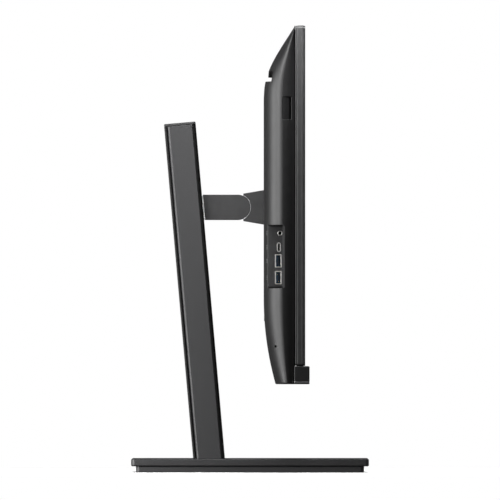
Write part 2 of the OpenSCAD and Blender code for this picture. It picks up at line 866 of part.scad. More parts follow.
module card_reader() {
    color("#161618") difference() {
        translate([-half_w + 22, card_y, card_z]) cube([30, 5, 30], center = true);
        translate([-half_w + 18, card_y, card_z]) cube([30, 2.5, 24.8], center = true);
    }
}

// ---------- rear ports, facing down into a bay ----------

bay_wall = 1.4;
port_face = bay_z1 - bay_wall;
rear_mid = board_y + 9.5;

module down_port(x, w, d, h, hole_w, hole_d, tongue_w, tongue_d) {
    translate([x, rear_mid, port_face]) {
        difference() {
            translate([-w / 2, -d / 2, 0.1]) cube([w, d, h]);
            translate([-hole_w / 2, -hole_d / 2, -1]) cube([hole_w, hole_d, h - 1]);
        }
        translate([-tongue_w / 2, hole_d / 2 - tongue_d - 1, 1.5]) cube([tongue_w, tongue_d, h - 2]);
    }
}

module rear_port_tray() {
    color("#2a2a2c") difference() {
        box([bay_x0 + 0.2, bay_front, bay_z0 + 0.2], [bay_x1 - 0.2, mount_floor, bay_z1 - 0.1]);
        box([bay_x0 + 0.2 + bay_wall, bay_front + bay_wall, bay_z0 + 0.2 + bay_wall],
            [bay_x1 - 0.2 - bay_wall, rear_y + 1, port_face]);
        for (p = [[-214, 9.6, 9.6], [-184, 16.4, 14], [-150, 16, 6.6], [-118, 13.8, 6.8], [-98, 13.8, 6.8]])
            translate([p[0], rear_mid, bay_z1]) cube([p[1], p[2], 6], center = true);
    }
}

module power_jack() {
    color("#1a1a1c") translate([-214, rear_mid, port_face]) difference() {
        translate([0, 0, 0.1]) cylinder(r = 4.7, h = 14);
        translate([0, 0, -1]) cylinder(r = 3.7, h = 12);
    }
    color("#c8c8c6") translate([-214, rear_mid, port_face + 2]) cylinder(r = 0.6, h = 10);
}

module network_port() { color("#b8babd") down_port(-184, 16.2, 13.8, 16, 11.8, 8.4, 8, 0.6); }

module video_port() { color("#c4c6c9") down_port(-150, 15.8, 6.4, 12, 14.4, 4.9, 11, 1); }

module rear_usb_ports() {
    color("#c4c6c9") for (x = [-118, -98]) down_port(x, 13.6, 6.6, 14, 12.5, 5.2, 11, 1.9);
}

// ---------- controls at the front ----------

cam_z = head_top - 5.2;

module webcam_module() {
    color("#0f0f11") {
        box([-14, front_y + 3.2, active_top + 2.6], [14, front_y + 8.5, head_top - 3.2]);
        rod_y(front_y + 2.3, front_y + 3.3, 0, cam_z - 1.3, 2);
    }
}

shutter_y = front_y + 1.5;

module webcam_shutter() {
    color("#7c1f1f") {
        box([-9, shutter_y, cam_z - 3.4], [-4, shutter_y + 0.4, head_top - 2.2]);
        box([-9, shutter_y, head_top - 2.8], [0.6, shutter_y + 0.4, head_top - 2.2]);
        box([-0.6, shutter_y, head_top - 2.8], [0.6, shutter_y + 2.6, head_top - 0.9]);
        box([-4.1, shutter_y, head_top - 0.9], [4.1, shutter_y + 4.6, head_top - 0.1]);
    }
}

module power_button() {
    color("#3c3c3e") translate([button_x, 0, button_z]) {
        slab_xz(bar_front - 1.1, bar_front + 2.2) pill(12, 2.6);
        slab_xz(bar_front + 2.2, bar_front + 3) pill(14.5, 3);
    }
}

base_plate();
ballast_plate();
base_feet();
base_screws();
column_shell();
column_rear_cover();
column_cap();
column_foot();
rail_bridge();
guide_rails();
gas_spring_cylinder();
gas_spring_rod();
lift_carriage();
guide_bushes();
arm_body();
arm_cover_left();
arm_cover_right();
arm_screws();
hinge_pin();
friction_washers();
tilt_bracket();
hinge_liner();
mount_screws();
mount_frame();
rear_cover();
cover_screws();
front_bezel();
screen_glass();
backlight_module();
speaker_bar();
speaker_grille();
bar_trim();
speaker_left();
speaker_right();
chassis_plate();
motherboard();
memory_modules();
ssd_module();
wifi_card();
antennas();
heat_spreader();
fan_housing();
fan_impeller();
side_board();
side_port_panel();
audio_jack();
usb_c_port();
usb_a_shell_upper();
usb_a_shell_lower();
usb_a_tongue_upper();
usb_a_tongue_lower();
card_reader();
rear_port_tray();
power_jack();
network_port();
video_port();
rear_usb_ports();
webcam_module();
webcam_shutter();
power_button();
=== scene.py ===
"""All-in-one computer on a leaning stand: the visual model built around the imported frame.

Lengths in the piece builders are millimetres, and make_piece turns them into metres.
+Z is up, the screen faces -Y, and the camera looks along +X at the computer's left side.
"""
import json
import math

import bmesh
import bpy
from mathutils import Matrix, Vector
from mathutils.geometry import tessellate_polygon


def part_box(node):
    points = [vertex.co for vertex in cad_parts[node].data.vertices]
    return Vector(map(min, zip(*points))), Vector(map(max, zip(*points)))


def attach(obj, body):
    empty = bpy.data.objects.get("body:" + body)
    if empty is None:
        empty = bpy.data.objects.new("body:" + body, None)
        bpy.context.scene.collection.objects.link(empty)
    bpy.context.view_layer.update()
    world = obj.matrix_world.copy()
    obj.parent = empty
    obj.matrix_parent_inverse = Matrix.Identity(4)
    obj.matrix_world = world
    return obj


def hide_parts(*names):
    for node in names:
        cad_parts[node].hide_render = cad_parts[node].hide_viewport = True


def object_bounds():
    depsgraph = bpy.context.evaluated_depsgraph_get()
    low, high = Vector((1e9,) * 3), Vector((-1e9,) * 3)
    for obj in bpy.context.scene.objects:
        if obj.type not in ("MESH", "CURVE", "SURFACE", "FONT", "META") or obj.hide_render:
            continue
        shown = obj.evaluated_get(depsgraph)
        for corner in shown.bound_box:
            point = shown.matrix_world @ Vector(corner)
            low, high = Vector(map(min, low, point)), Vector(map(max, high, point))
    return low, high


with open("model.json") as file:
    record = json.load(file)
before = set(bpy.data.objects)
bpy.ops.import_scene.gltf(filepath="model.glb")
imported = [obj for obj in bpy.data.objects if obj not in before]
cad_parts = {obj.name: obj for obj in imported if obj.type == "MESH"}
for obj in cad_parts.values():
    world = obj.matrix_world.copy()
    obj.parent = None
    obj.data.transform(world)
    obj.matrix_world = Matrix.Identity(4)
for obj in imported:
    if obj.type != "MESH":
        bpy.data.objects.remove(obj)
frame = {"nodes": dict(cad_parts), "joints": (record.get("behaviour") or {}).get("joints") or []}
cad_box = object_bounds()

MM = 0.001
# Edges that turn by more degrees than this are rounded.
SHARP_ANGLE = 32
scene = bpy.context.scene


# ---- places taken from the frame

def mm_box(node):
    """Lowest and highest corner of a CAD node, in millimetres."""
    low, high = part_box(node)
    return low / MM, high / MM


def middle(node):
    low, high = mm_box(node)
    return (low + high) / 2


COVER_LOW, COVER_HIGH = mm_box("rear_cover")
BEZEL_LOW, BEZEL_HIGH = mm_box("front_bezel")
GLASS_LOW, GLASS_HIGH = mm_box("screen_glass")
BAR_LOW, BAR_HIGH = mm_box("speaker_bar")
TRIM_LOW, TRIM_HIGH = mm_box("bar_trim")
GRILLE_LOW, GRILLE_HIGH = mm_box("speaker_grille")
BASE_LOW, BASE_HIGH = mm_box("base_plate")
BALLAST_LOW, BALLAST_HIGH = mm_box("ballast_plate")
ARM_LOW, ARM_HIGH = mm_box("arm_cover_left")
BRACKET_LOW, BRACKET_HIGH = mm_box("tilt_bracket")
PANEL_LOW, PANEL_HIGH = mm_box("side_port_panel")
TRAY_LOW, TRAY_HIGH = mm_box("rear_port_tray")
SHELL_LOW, SHELL_HIGH = mm_box("column_shell")
READER = middle("card_reader")
TILT = middle("hinge_pin")
BUTTON = middle("power_button")

HALF_W = COVER_HIGH.x
# The seam between cover and front frame sits this far ahead of the CAD's.
FORWARD = 1.2
SEAM_Y = COVER_LOW.y - FORWARD
REAR_Y = COVER_HIGH.y
HEAD_LOW = COVER_LOW.z
HEAD_TOP = COVER_HIGH.z
DEPTH = REAR_Y - SEAM_Y
WALL = 2.2

slide = next(j for j in frame["joints"] if j["name"] == "height_slide")
LEAN = math.atan2(slide["axis"][1], slide["axis"][2])
COLUMN_W = SHELL_HIGH.x - SHELL_LOW.x
# Across the leaning column and along it, which a box along the axes doesn't give.
COLUMN_T = 34.4
COLUMN_LEN = 367
COLUMN_Y = SHELL_LOW.y + COLUMN_T / 2 / math.cos(LEAN)
BASE_TOP = BASE_HIGH.z
IN_COLUMN = Matrix.Translation((0, COLUMN_Y, BASE_TOP)) @ Matrix.Rotation(-LEAN, 4, "X")

# The slot in the column's face: the arm's travel from rest, and a margin past each end.
TRAVEL_DOWN = 65
TRAVEL_UP = 60
SLOT_MARGIN = 15
REST_AT = (TILT.z - BASE_TOP) * math.cos(LEAN) + 0.6
SLOT_LOW = REST_AT - TRAVEL_DOWN - SLOT_MARGIN
SLOT_HIGH = REST_AT + TRAVEL_UP + SLOT_MARGIN


# ---- flat outlines

def arc(cx, cy, r, start, end, steps):
    """Points on a circle between two angles in degrees."""
    angles = [math.radians(start + (end - start) * k / steps) for k in range(steps + 1)]
    return [(cx + r * math.cos(a), cy + r * math.sin(a)) for a in angles]


def rounded_rect(w, h, r, centre=(0, 0), steps=6):
    cx, cy = centre
    corners = ((1, 1, 0), (-1, 1, 90), (-1, -1, 180), (1, -1, 270))
    return [p for sx, sy, a in corners
            for p in arc(cx + sx * (w / 2 - r), cy + sy * (h / 2 - r), r, a, a + 90, steps)]


def pill(w, h, centre=(0, 0), steps=8):
    return rounded_rect(w, h, min(w, h) / 2 - 0.001, centre, steps)


def ring_outline(r, centre=(0, 0), steps=40):
    return arc(*centre, r, 0, 360, steps)[:-1]


# Where a flat shape's two coordinates and its height go: named after the plane it lies in.
def on_xy(a, b, h):
    return (a, b, h)


def on_xz(a, b, h):
    return (a, h, b)


def on_yz(a, b, h):
    return (h, a, b)


# ---- mesh building

def add_loft(bm, rings, capped=True, closed=False):
    """Joins rings of equal count. The ends are capped, or the last ring joins the first."""
    rows = [[bm.verts.new(p) for p in ring] for ring in rings]
    for low, high in zip(rows, rows[1:] + rows[:1] if closed else rows[1:]):
        for k in range(len(low)):
            n = (k + 1) % len(low)
            bm.faces.new((low[k], low[n], high[n], high[k]))
    if capped and not closed:
        bm.faces.new(rows[0])
        bm.faces.new(rows[-1])


def add_prism(bm, outline, low, high, place, holes=()):
    """Gives a flat outline with holes its thickness between two heights."""
    loops = [outline, *holes]
    flat = [p for loop in loops for p in loop]
    sides = [[bm.verts.new(place(a, b, h)) for a, b in flat] for h in (low, high)]
    faces = [range(len(outline))]
    if holes:
        faces = tessellate_polygon([[Vector((a, b, 0)) for a, b in loop] for loop in loops])
    for side in sides:
        for face in faces:
            bm.faces.new([side[k] for k in face])
    start = 0
    for loop in loops:
        for k in range(len(loop)):
            a, b = start + k, start + (k + 1) % len(loop)
            bm.faces.new((sides[0][a], sides[0][b], sides[1][b], sides[1][a]))
        start += len(loop)


def add_slab(bm, w, h, r, low, high, place, low_round, high_round, centre=(0, 0)):
    """A rounded rectangle with thickness, and a quarter-round along each of its two rims."""
    rings = []
    for edge, size, start in ((low, low_round, 90), (high, high_round, 0)):
        for k in range(5):
            a = math.radians(start + (-1 if start else 1) * 22.5 * k)
            inset = size * (1 - math.cos(a))
            rise = size * (1 - math.sin(a))
            z = edge + rise if start else edge - rise
            outline = rounded_rect(w - 2 * inset, h - 2 * inset, max(r - inset, 0.05), centre)
            rings.append([place(a2, b2, z) for a2, b2 in outline])
    add_loft(bm, rings)


def add_turned(bm, profile, axis_point, place, steps=40):
    """Turns a profile of (radius, height) points about an axis, as a closed solid."""
    rings = [[place(*p, h) for p in ring_outline(max(r, 0.001), axis_point, steps)]
             for r, h in profile]
    add_loft(bm, rings)


def add_washer(bm, profile, axis_point, place, steps=40):
    """Turns a closed profile of (radius, height) points about an axis, as a ring."""
    rings = [[place(*p, h) for p in ring_outline(r, axis_point, steps)] for r, h in profile]
    add_loft(bm, rings, closed=True)


def make_piece(name, bm, material, body, replaced=(), rounding=0.0, segments=3, matrix=None):
    """Turns a mesh in millimetres into a piece that rides on a body, with its rims rounded."""
    bmesh.ops.recalc_face_normals(bm, faces=bm.faces)
    mesh = bpy.data.meshes.new(name)
    bm.to_mesh(mesh)
    bm.free()
    mesh.transform(Matrix.Scale(MM, 4) @ (matrix or Matrix.Identity(4)))
    mesh.shade_smooth()
    mesh.materials.append(MAT[material])
    piece = bpy.data.objects.new(name, mesh)
    scene.collection.objects.link(piece)
    round_edges(piece, rounding, segments)
    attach(piece, body)
    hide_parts(*replaced)
    return piece


def round_edges(piece, width, segments=3):
    """Rounds the sharp edges by a width in millimetres and evens the shading."""
    if width:
        bevel = piece.modifiers.new("rounding", "BEVEL")
        bevel.width = width * MM
        bevel.segments = segments
        bevel.angle_limit = math.radians(SHARP_ANGLE)
        bevel.use_clamp_overlap = False
        bevel.loop_slide = False
        bevel.miter_outer = "MITER_ARC"
    normals = piece.modifiers.new("normals", "WEIGHTED_NORMAL")
    normals.keep_sharp = True


def carve(piece, bm):
    """Takes a closed mesh in millimetres away from a piece, before its edges are rounded."""
    bmesh.ops.recalc_face_normals(bm, faces=bm.faces)
    mesh = bpy.data.meshes.new("cutter")
    bm.to_mesh(mesh)
    bm.free()
    mesh.transform(Matrix.Scale(MM, 4))
    cutter = bpy.data.objects.new("cutter", mesh)
    scene.collection.objects.link(cutter)
    cut = piece.modifiers.new("cut", "BOOLEAN")
    cut.object = cutter
    cut.solver = "EXACT"
    shown = {m.name: m.show_viewport for m in piece.modifiers}
    for m in piece.modifiers:
        m.show_viewport = m is cut or m.name == "cut"
    graph = bpy.context.evaluated_depsgraph_get()
    carved = bpy.data.meshes.new_from_object(piece.evaluated_get(graph), depsgraph=graph)
    piece.modifiers.remove(cut)
    old = piece.data
    piece.data = carved
    carved.name = old.name
    bpy.data.meshes.remove(old)
    bpy.data.objects.remove(cutter)
    bpy.data.meshes.remove(mesh)
    for m in piece.modifiers:
        m.show_viewport = shown[m.name]
    piece.data.shade_smooth()


# ---- materials

def texture_space(tree, stretch=(1, 1, 1)):
    """Coordinates in metres from the shared origin, stretched along an axis for brushing."""
    place = tree.nodes.new("ShaderNodeTexCoord")
    mapping = tree.nodes.new("ShaderNodeMapping")
    mapping.inputs["Scale"].default_value = stretch
    tree.links.new(place.outputs["Object"], mapping.inputs["Vector"])
    return mapping.outputs["Vector"]


def add_noise(tree, space, size, detail=3.0):
    """Noise whose features are about this many millimetres across."""
    noise = tree.nodes.new("ShaderNodeTexNoise")
    noise.inputs["Scale"].default_value = 1 / (size * MM)
    noise.inputs["Detail"].default_value = detail
    tree.links.new(space, noise.inputs["Vector"])
    return noise.outputs["Fac"]


def add_range(tree, value, low, high, start=0.3, end=0.7):
    """Maps the middle of a noise's spread onto a range of values."""
    stretch = tree.nodes.new("ShaderNodeMapRange")
    stretch.inputs["From Min"].default_value = start
    stretch.inputs["From Max"].default_value = end
    stretch.inputs["To Min"].default_value = low
    stretch.inputs["To Max"].default_value = high
    tree.links.new(value, stretch.inputs["Value"])
    return stretch.outputs["Result"]


def add_mix(tree, share, first, second):
    """Mixes two colours, each a tuple or a socket."""
    mix = tree.nodes.new("ShaderNodeMix")
    mix.data_type = "RGBA"
    for socket, colour in ((mix.inputs[6], first), (mix.inputs[7], second)):
        if isinstance(colour, tuple):
            socket.default_value = (*colour, 1)
        else:
            tree.links.new(colour, socket)
    tree.links.new(share, mix.inputs[0])
    return mix.outputs[2]


def add_math(tree, operation, *values):
    """One sum on values that are each a number or a socket."""
    node = tree.nodes.new("ShaderNodeMath")
    node.operation = operation
    for socket, value in zip(node.inputs, values):
        if isinstance(value, (int, float)):
            socket.default_value = value
        else:
            tree.links.new(value, socket)
    return node.outputs[0]


def add_bump(tree, shader, height, depth):
    """Bump of a depth in millimetres."""
    bump = tree.nodes.new("ShaderNodeBump")
    bump.inputs["Strength"].default_value = 1.0
    bump.inputs["Distance"].default_value = depth * MM
    tree.links.new(height, bump.inputs["Height"])
    tree.links.new(bump.outputs["Normal"], shader.inputs["Normal"])


def start_material(name, metallic=0.0, specular=0.5, coat=0.0, coat_rough=0.1):
    material = bpy.data.materials.new(name)
    material.use_nodes = True
    tree = material.node_tree
    shader = tree.nodes["Principled BSDF"]
    shader.inputs["Metallic"].default_value = metallic
    shader.inputs["Specular IOR Level"].default_value = specular
    shader.inputs["Coat Weight"].default_value = coat
    shader.inputs["Coat Roughness"].default_value = coat_rough
    return material, tree, shader


def dressed(material, colour, roughness, height, depth):
    """Wires a material's colour, its roughness and its bump, whose depth is in millimetres."""
    tree = material.node_tree
    shader = tree.nodes["Principled BSDF"]
    tree.links.new(colour, shader.inputs["Base Color"])
    tree.links.new(roughness, shader.inputs["Roughness"])
    add_bump(tree, shader, height, depth)
    return material


def scaled(colour, share):
    return tuple(c * share for c in colour)


def moulded(name, colour, rough=0.45, grain=0.35, depth=0.02, specular=0.5, mottle=9.0, spread=0.12):
    """Moulded plastic: a spark-eroded grain, faint flow mottling and finger-polished patches."""
    material, tree, _ = start_material(name, specular=specular)
    space = texture_space(tree)
    blotch = add_noise(tree, space, mottle, 5.0)
    fine = add_noise(tree, space, grain, 2.0)
    tint = add_mix(tree, add_range(tree, blotch, 0, 1),
                   scaled(colour, 1 - spread), scaled(colour, 1 + spread))
    speck = add_mix(tree, add_range(tree, fine, 0, 0.35, 0.5, 0.8),
                    tint, scaled(colour, 1.6))
    roughness = add_range(tree, blotch, rough - 0.02, rough + 0.02)
    return dressed(material, speck, roughness, fine, depth)


def painted(name, colour, rough=0.4, peel=2.4, depth=0.03):
    """Powder coat on metal: orange peel with a fine metallic fleck."""
    material, tree, _ = start_material(name, specular=0.5, coat=0.15, coat_rough=0.25)
    space = texture_space(tree)
    peel_noise = add_noise(tree, space, peel, 3.0)
    fleck = add_noise(tree, space, 0.18, 1.0)
    tint = add_mix(tree, add_range(tree, fleck, 0, 1, 0.55, 0.75),
                   colour, scaled(colour, 2.4))
    roughness = add_range(tree, peel_noise, rough - 0.06, rough + 0.06)
    return dressed(material, tint, roughness, peel_noise, depth)


def metal(name, colour, rough=0.3, stretch=(1, 1, 1), line=0.4, depth=0.004, wear=6.0, metallic=1.0):
    """Bare or plated metal: tool lines along one axis, and patches that shine more or less."""
    material, tree, _ = start_material(name, metallic=metallic)
    space = texture_space(tree, stretch)
    plain = texture_space(tree)
    lines = add_noise(tree, space, line, 4.0)
    patch = add_noise(tree, plain, wear, 4.0)
    tint = add_mix(tree, add_range(tree, patch, 0, 1),
                   scaled(colour, 0.86), scaled(colour, 1.06))
    roughness = add_range(tree, lines, rough * 0.75, rough * 1.3)
    return dressed(material, tint, roughness, lines, depth)


def cast_metal(name, colour, rough=0.5):
    """Die-cast metal: a sandy skin with flow marks."""
    material, tree, _ = start_material(name, metallic=0.9)
    space = texture_space(tree)
    sand = add_noise(tree, space, 0.6, 6.0)
    flow = add_noise(tree, space, 14, 4.0)
    tint = add_mix(tree, add_range(tree, flow, 0, 1),
                   scaled(colour, 0.8), scaled(colour, 1.1))
    roughness = add_range(tree, sand, rough - 0.1, rough + 0.12)
    return dressed(material, tint, roughness, sand, 0.06)


def rubber(name, colour):
    """Soft rubber: dull, with dust in a coarse grain."""
    material, tree, _ = start_material(name, specular=0.25)
    space = texture_space(tree)
    dust = add_noise(tree, space, 3.0, 6.0)
    grain = add_noise(tree, space, 0.5, 3.0)
    tint = add_mix(tree, add_range(tree, dust, 0, 1, 0.45, 0.8),
                   colour, scaled(colour, 2.2))
    roughness = add_range(tree, grain, 0.75, 0.95)
    return dressed(material, tint, roughness, grain, 0.08)


def circuit(name, mask, copper=(0.75, 0.42, 0.16)):
    """Printed circuit board: solder mask over a raised pattern of tracks, with bare pads."""
    material, tree, shader = start_material(name, specular=0.5, coat=0.3, coat_rough=0.15)
    space = texture_space(tree)
    tracks = tree.nodes.new("ShaderNodeTexVoronoi")
    tracks.distance = "MANHATTAN"
    tracks.feature = "F1"
    tracks.inputs["Scale"].default_value = 1 / (3.2 * MM)
    tree.links.new(space, tracks.inputs["Vector"])
    distance = tracks.outputs["Distance"]
    lines = add_range(tree, distance, 0, 1, 0.55, 0.6)
    pads = add_range(tree, distance, 1, 0, 0.1, 0.14)
    board = add_mix(tree, lines, mask, scaled(mask, 1.8))
    tree.links.new(add_mix(tree, pads, board, copper), shader.inputs["Base Color"])
    tree.links.new(add_range(tree, distance, 0.3, 0.5, 0.1, 0.6), shader.inputs["Roughness"])
    tree.links.new(pads, shader.inputs["Metallic"])
    add_bump(tree, shader, lines, 0.03)
    return material


def screen_surface(name):
    """Anti-glare screen: an etched grain over a panel that is a little lighter than its border."""
    material, tree, shader = start_material(name, specular=0.5, coat=0.6, coat_rough=0.22)
    place = tree.nodes.new("ShaderNodeTexCoord")
    split = tree.nodes.new("ShaderNodeSeparateXYZ")
    tree.links.new(place.outputs["Object"], split.inputs[0])
    inside = []
    low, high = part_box("backlight_module")
    centre_z = (low.z + high.z) / 2
    margin = 4 * MM
    half_z = (high.z - low.z) / 2
    for output, centre, half in (("X", 0, high.x - margin), ("Z", centre_z, half_z - margin)):
        away = add_math(tree, "SUBTRACT", split.outputs[output], centre)
        size = add_math(tree, "ABSOLUTE", away)
        inside.append(add_math(tree, "LESS_THAN", size, half))
    both = add_math(tree, "MULTIPLY", *inside)
    space = texture_space(tree)
    haze = add_noise(tree, space, 60, 3.0)
    etch = add_noise(tree, space, 0.12, 2.0)
    border, dim, bright = (0.004, 0.004, 0.005), (0.010, 0.011, 0.014), (0.014, 0.015, 0.019)
    panel = add_mix(tree, add_range(tree, haze, 0, 1), dim, bright)
    tree.links.new(add_mix(tree, both, border, panel), shader.inputs["Base Color"])
    tree.links.new(add_range(tree, etch, 0.26, 0.4), shader.inputs["Roughness"])
    add_bump(tree, shader, etch, 0.004)
    return material


MAT = {
    "cover": moulded("cover_grain", (0.009, 0.009, 0.0095), rough=0.45, grain=0.45),
    "bezel": moulded("bezel_grain", (0.046, 0.046, 0.047), rough=0.45, grain=0.30, depth=0.012),
    "bar": moulded("bar_grain", (0.014, 0.014, 0.015), rough=0.36, grain=0.30, depth=0.010),
    "trim": metal("trim_satin", (0.30, 0.30, 0.31), rough=0.34, stretch=(0.02, 1, 1)),
    "grille": painted("grille_paint", (0.012, 0.012, 0.013), rough=0.5, peel=1.2),
    "base": painted("base_paint", (0.045, 0.045, 0.047), rough=0.45),
    # Lighter than the base plate above: real paint tone plus painted light that makes up for the shade
    # under the plate's overhang.
    "ballast": painted("ballast_paint_painted_light", (0.075, 0.075, 0.078), rough=0.5, peel=1.6, depth=0.05),
    "feet": rubber("foot_rubber", (0.018, 0.018, 0.018)),
    "column": painted("column_paint", (0.043, 0.043, 0.045), rough=0.45),
    "column_back": moulded("column_back_grain", (0.008, 0.008, 0.008), rough=0.5, specular=0.25),
    # Near-black with little shine: painted shade for the column's front face strip.
    "column_face_painted_shade": moulded("column_face_grain", (0.004, 0.004, 0.004), rough=0.6, specular=0.12),
    "cap": moulded("cap_grain", (0.034, 0.034, 0.035), rough=0.42),
    "arm": moulded("arm_grain", (0.033, 0.033, 0.034), rough=0.48, grain=0.4),
    "liner": moulded("liner_satin", (0.50, 0.50, 0.51), rough=0.25, grain=0.2, depth=0.004),
    "wiper": moulded("wiper_acetal", (0.88, 0.88, 0.88), rough=0.4, grain=0.3, depth=0.006),
    "neck": metal("neck_polish", (0.90, 0.90, 0.91), rough=0.12, stretch=(1, 1, 0.05)),
    "panel": moulded("panel_grain", (0.050, 0.050, 0.052), rough=0.5, grain=0.4, depth=0.03),
    "port": metal("port_nickel", (0.80, 0.79, 0.77), rough=0.34, line=0.3, wear=2.0, metallic=0.4),
    "contact": metal("contact_gold", (0.95, 0.66, 0.26), rough=0.18, line=0.2, wear=1.0),
    "tongue": moulded("tongue_blue", (0.012, 0.050, 0.110), rough=0.4, grain=0.2, depth=0.01),
    "socket": moulded("socket_black", (0.008, 0.008, 0.008), rough=0.35, grain=0.2, depth=0.008),
    "button": moulded("button_grain", (0.05, 0.05, 0.052), rough=0.3, grain=0.25, depth=0.006),
    "marks": moulded("mark_ink", (0.30, 0.30, 0.31), rough=0.5, grain=0.15, depth=0.004),
    "screw": metal("screw_black", (0.05, 0.05, 0.052), rough=0.32, line=0.2, wear=1.2),
    "steel": metal("zinc_steel", (0.62, 0.63, 0.65), rough=0.34, wear=3.0),
    "ground": metal("ground_steel", (0.72, 0.72, 0.73), rough=0.18, stretch=(1, 1, 0.04), line=0.3),
    "sheet": metal("pressed_steel", (0.50, 0.51, 0.53), rough=0.42, stretch=(0.03, 1, 1), wear=12),
    "casting": cast_metal("zinc_casting", (0.50, 0.51, 0.53)),
    "frame": painted("frame_paint", (0.030, 0.030, 0.032), rough=0.5, peel=1.8, depth=0.04),
    "spring": painted("spring_paint", (0.012, 0.012, 0.013), rough=0.3, peel=3.5),
    "bush": moulded("bush_acetal", (0.72, 0.70, 0.64), rough=0.35, grain=0.5, depth=0.01, spread=0.05),
    "board": circuit("main_board", (0.010, 0.075, 0.030)),
    "storage": circuit("storage_board", (0.008, 0.030, 0.085)),
    "film": moulded("antenna_film", (0.60, 0.58, 0.50), rough=0.3, grain=1.5, depth=0.01),
    "copper": metal("pipe_copper", (0.78, 0.40, 0.22), rough=0.28, wear=5.0),
    "fan": moulded("fan_plastic", (0.012, 0.012, 0.013), rough=0.4, grain=0.6),
    "shutter": moulded("shutter_grain", (0.30, 0.02, 0.02), rough=0.45, grain=0.25, depth=0.008),
    "screen": screen_surface("screen_etch"),
}


# ---- rear cover

SIDE_REACH = 44
UNDERCUT_R = 23
UNDERCUT = 34
WIDEST = 0.4
SLOPE_TOP = 75
SLOPE_LOW = 93
BOTTOM_LOSS = 0.387
FLAT_X = HALF_W - SIDE_REACH
QUARTER = 90
TOP_CORNER_R = 3
LOW_CORNER_R = 2
GROOVE_LOW = HEAD_TOP - 60.1
GROOVE_HIGH = HEAD_TOP - 49.3
GROOVE_FLOOR_LOW = REAR_Y - 7.8
GROOVE_FLOOR_HIGH = REAR_Y - 9.6


def depth_share(z):
    """Share of the cover's full depth at height z."""
    u = (HEAD_TOP - z) / SLOPE_TOP
    v = (z - HEAD_LOW) / SLOPE_LOW
    if u < 1:
        return max(0.02, 1 - (1 - u) ** (1.4 + 0.6 * u))
    if v < 1:
        return 1 - BOTTOM_LOSS * (1 - v) ** 2
    return 1


def half_width(z):
    """Half of the cover's width at height z, less near its rounded corners."""
    for r, away in ((TOP_CORNER_R, HEAD_TOP - z), (LOW_CORNER_R, z - HEAD_LOW)):
        if away < r:
            return HALF_W - r + math.sqrt(max(0, r * r - (r - away) ** 2))
    return HALF_W


def plan_point(u, z):
    """Distance from the middle and share of the depth. u is x on the flat back; past it, each
    unit is a degree round the side: 90 down to 0 at the widest place, then under to -34."""
    if abs(u) <= FLAT_X:
        return u, 1.0
    t = math.radians(QUARTER - (abs(u) - FLAT_X))
    reach = half_width(z) - FLAT_X
    if t >= 0:
        x = FLAT_X + reach * math.cos(t)
        share = WIDEST + (1 - WIDEST) * math.sin(t)
    else:
        x = FLAT_X + reach - UNDERCUT_R * (1 - math.cos(t))
        share = WIDEST * (1 + math.sin(t) / math.sin(math.radians(UNDERCUT)))
    return math.copysign(x, u), share


def left_u(y, z):
    """The u at which the cover's left side passes depth y, at height z."""
    share = (y - SEAM_Y) / (DEPTH * depth_share(z))
    if share >= WIDEST:
        t = math.degrees(math.asin(min(1, (share - WIDEST) / (1 - WIDEST))))
    else:
        t = math.degrees(math.asin((share / WIDEST - 1) * math.sin(math.radians(UNDERCUT))))
    return -(FLAT_X + QUARTER - t)


def groove_floor(z):
    share = (z - GROOVE_LOW) / (GROOVE_HIGH - GROOVE_LOW)
    return GROOVE_FLOOR_LOW + share * (GROOVE_FLOOR_HIGH - GROOVE_FLOOR_LOW)


def cover_point(u, z, sunk=False, lift=0.0):
    """A point on the cover's skin, or on the floor of the exhaust groove."""
    x, share = plan_point(u, z)
    y = SEAM_Y + DEPTH * depth_share(z) * share
    if sunk:
        y = min(y, groove_floor(z))
    if lift:
        step = 0.5
        ahead, share_ahead = plan_point(u + step, z)
        dy = DEPTH * depth_share(z) * (share_ahead - share)
        normal = Vector((dy, x - ahead, 0)).normalized()
        if normal.y < 0:
            normal.negate()
        return Vector((x, y, z)) + normal * lift
    return Vector((x, y, z))


def window(u0, u1, z0, z1, ru, rz=None):
    """A hole in the cover: its bounds, and the reach of its round corners along u and z."""
    return (min(u0, u1), max(u0, u1), z0, z1, ru, rz or ru)


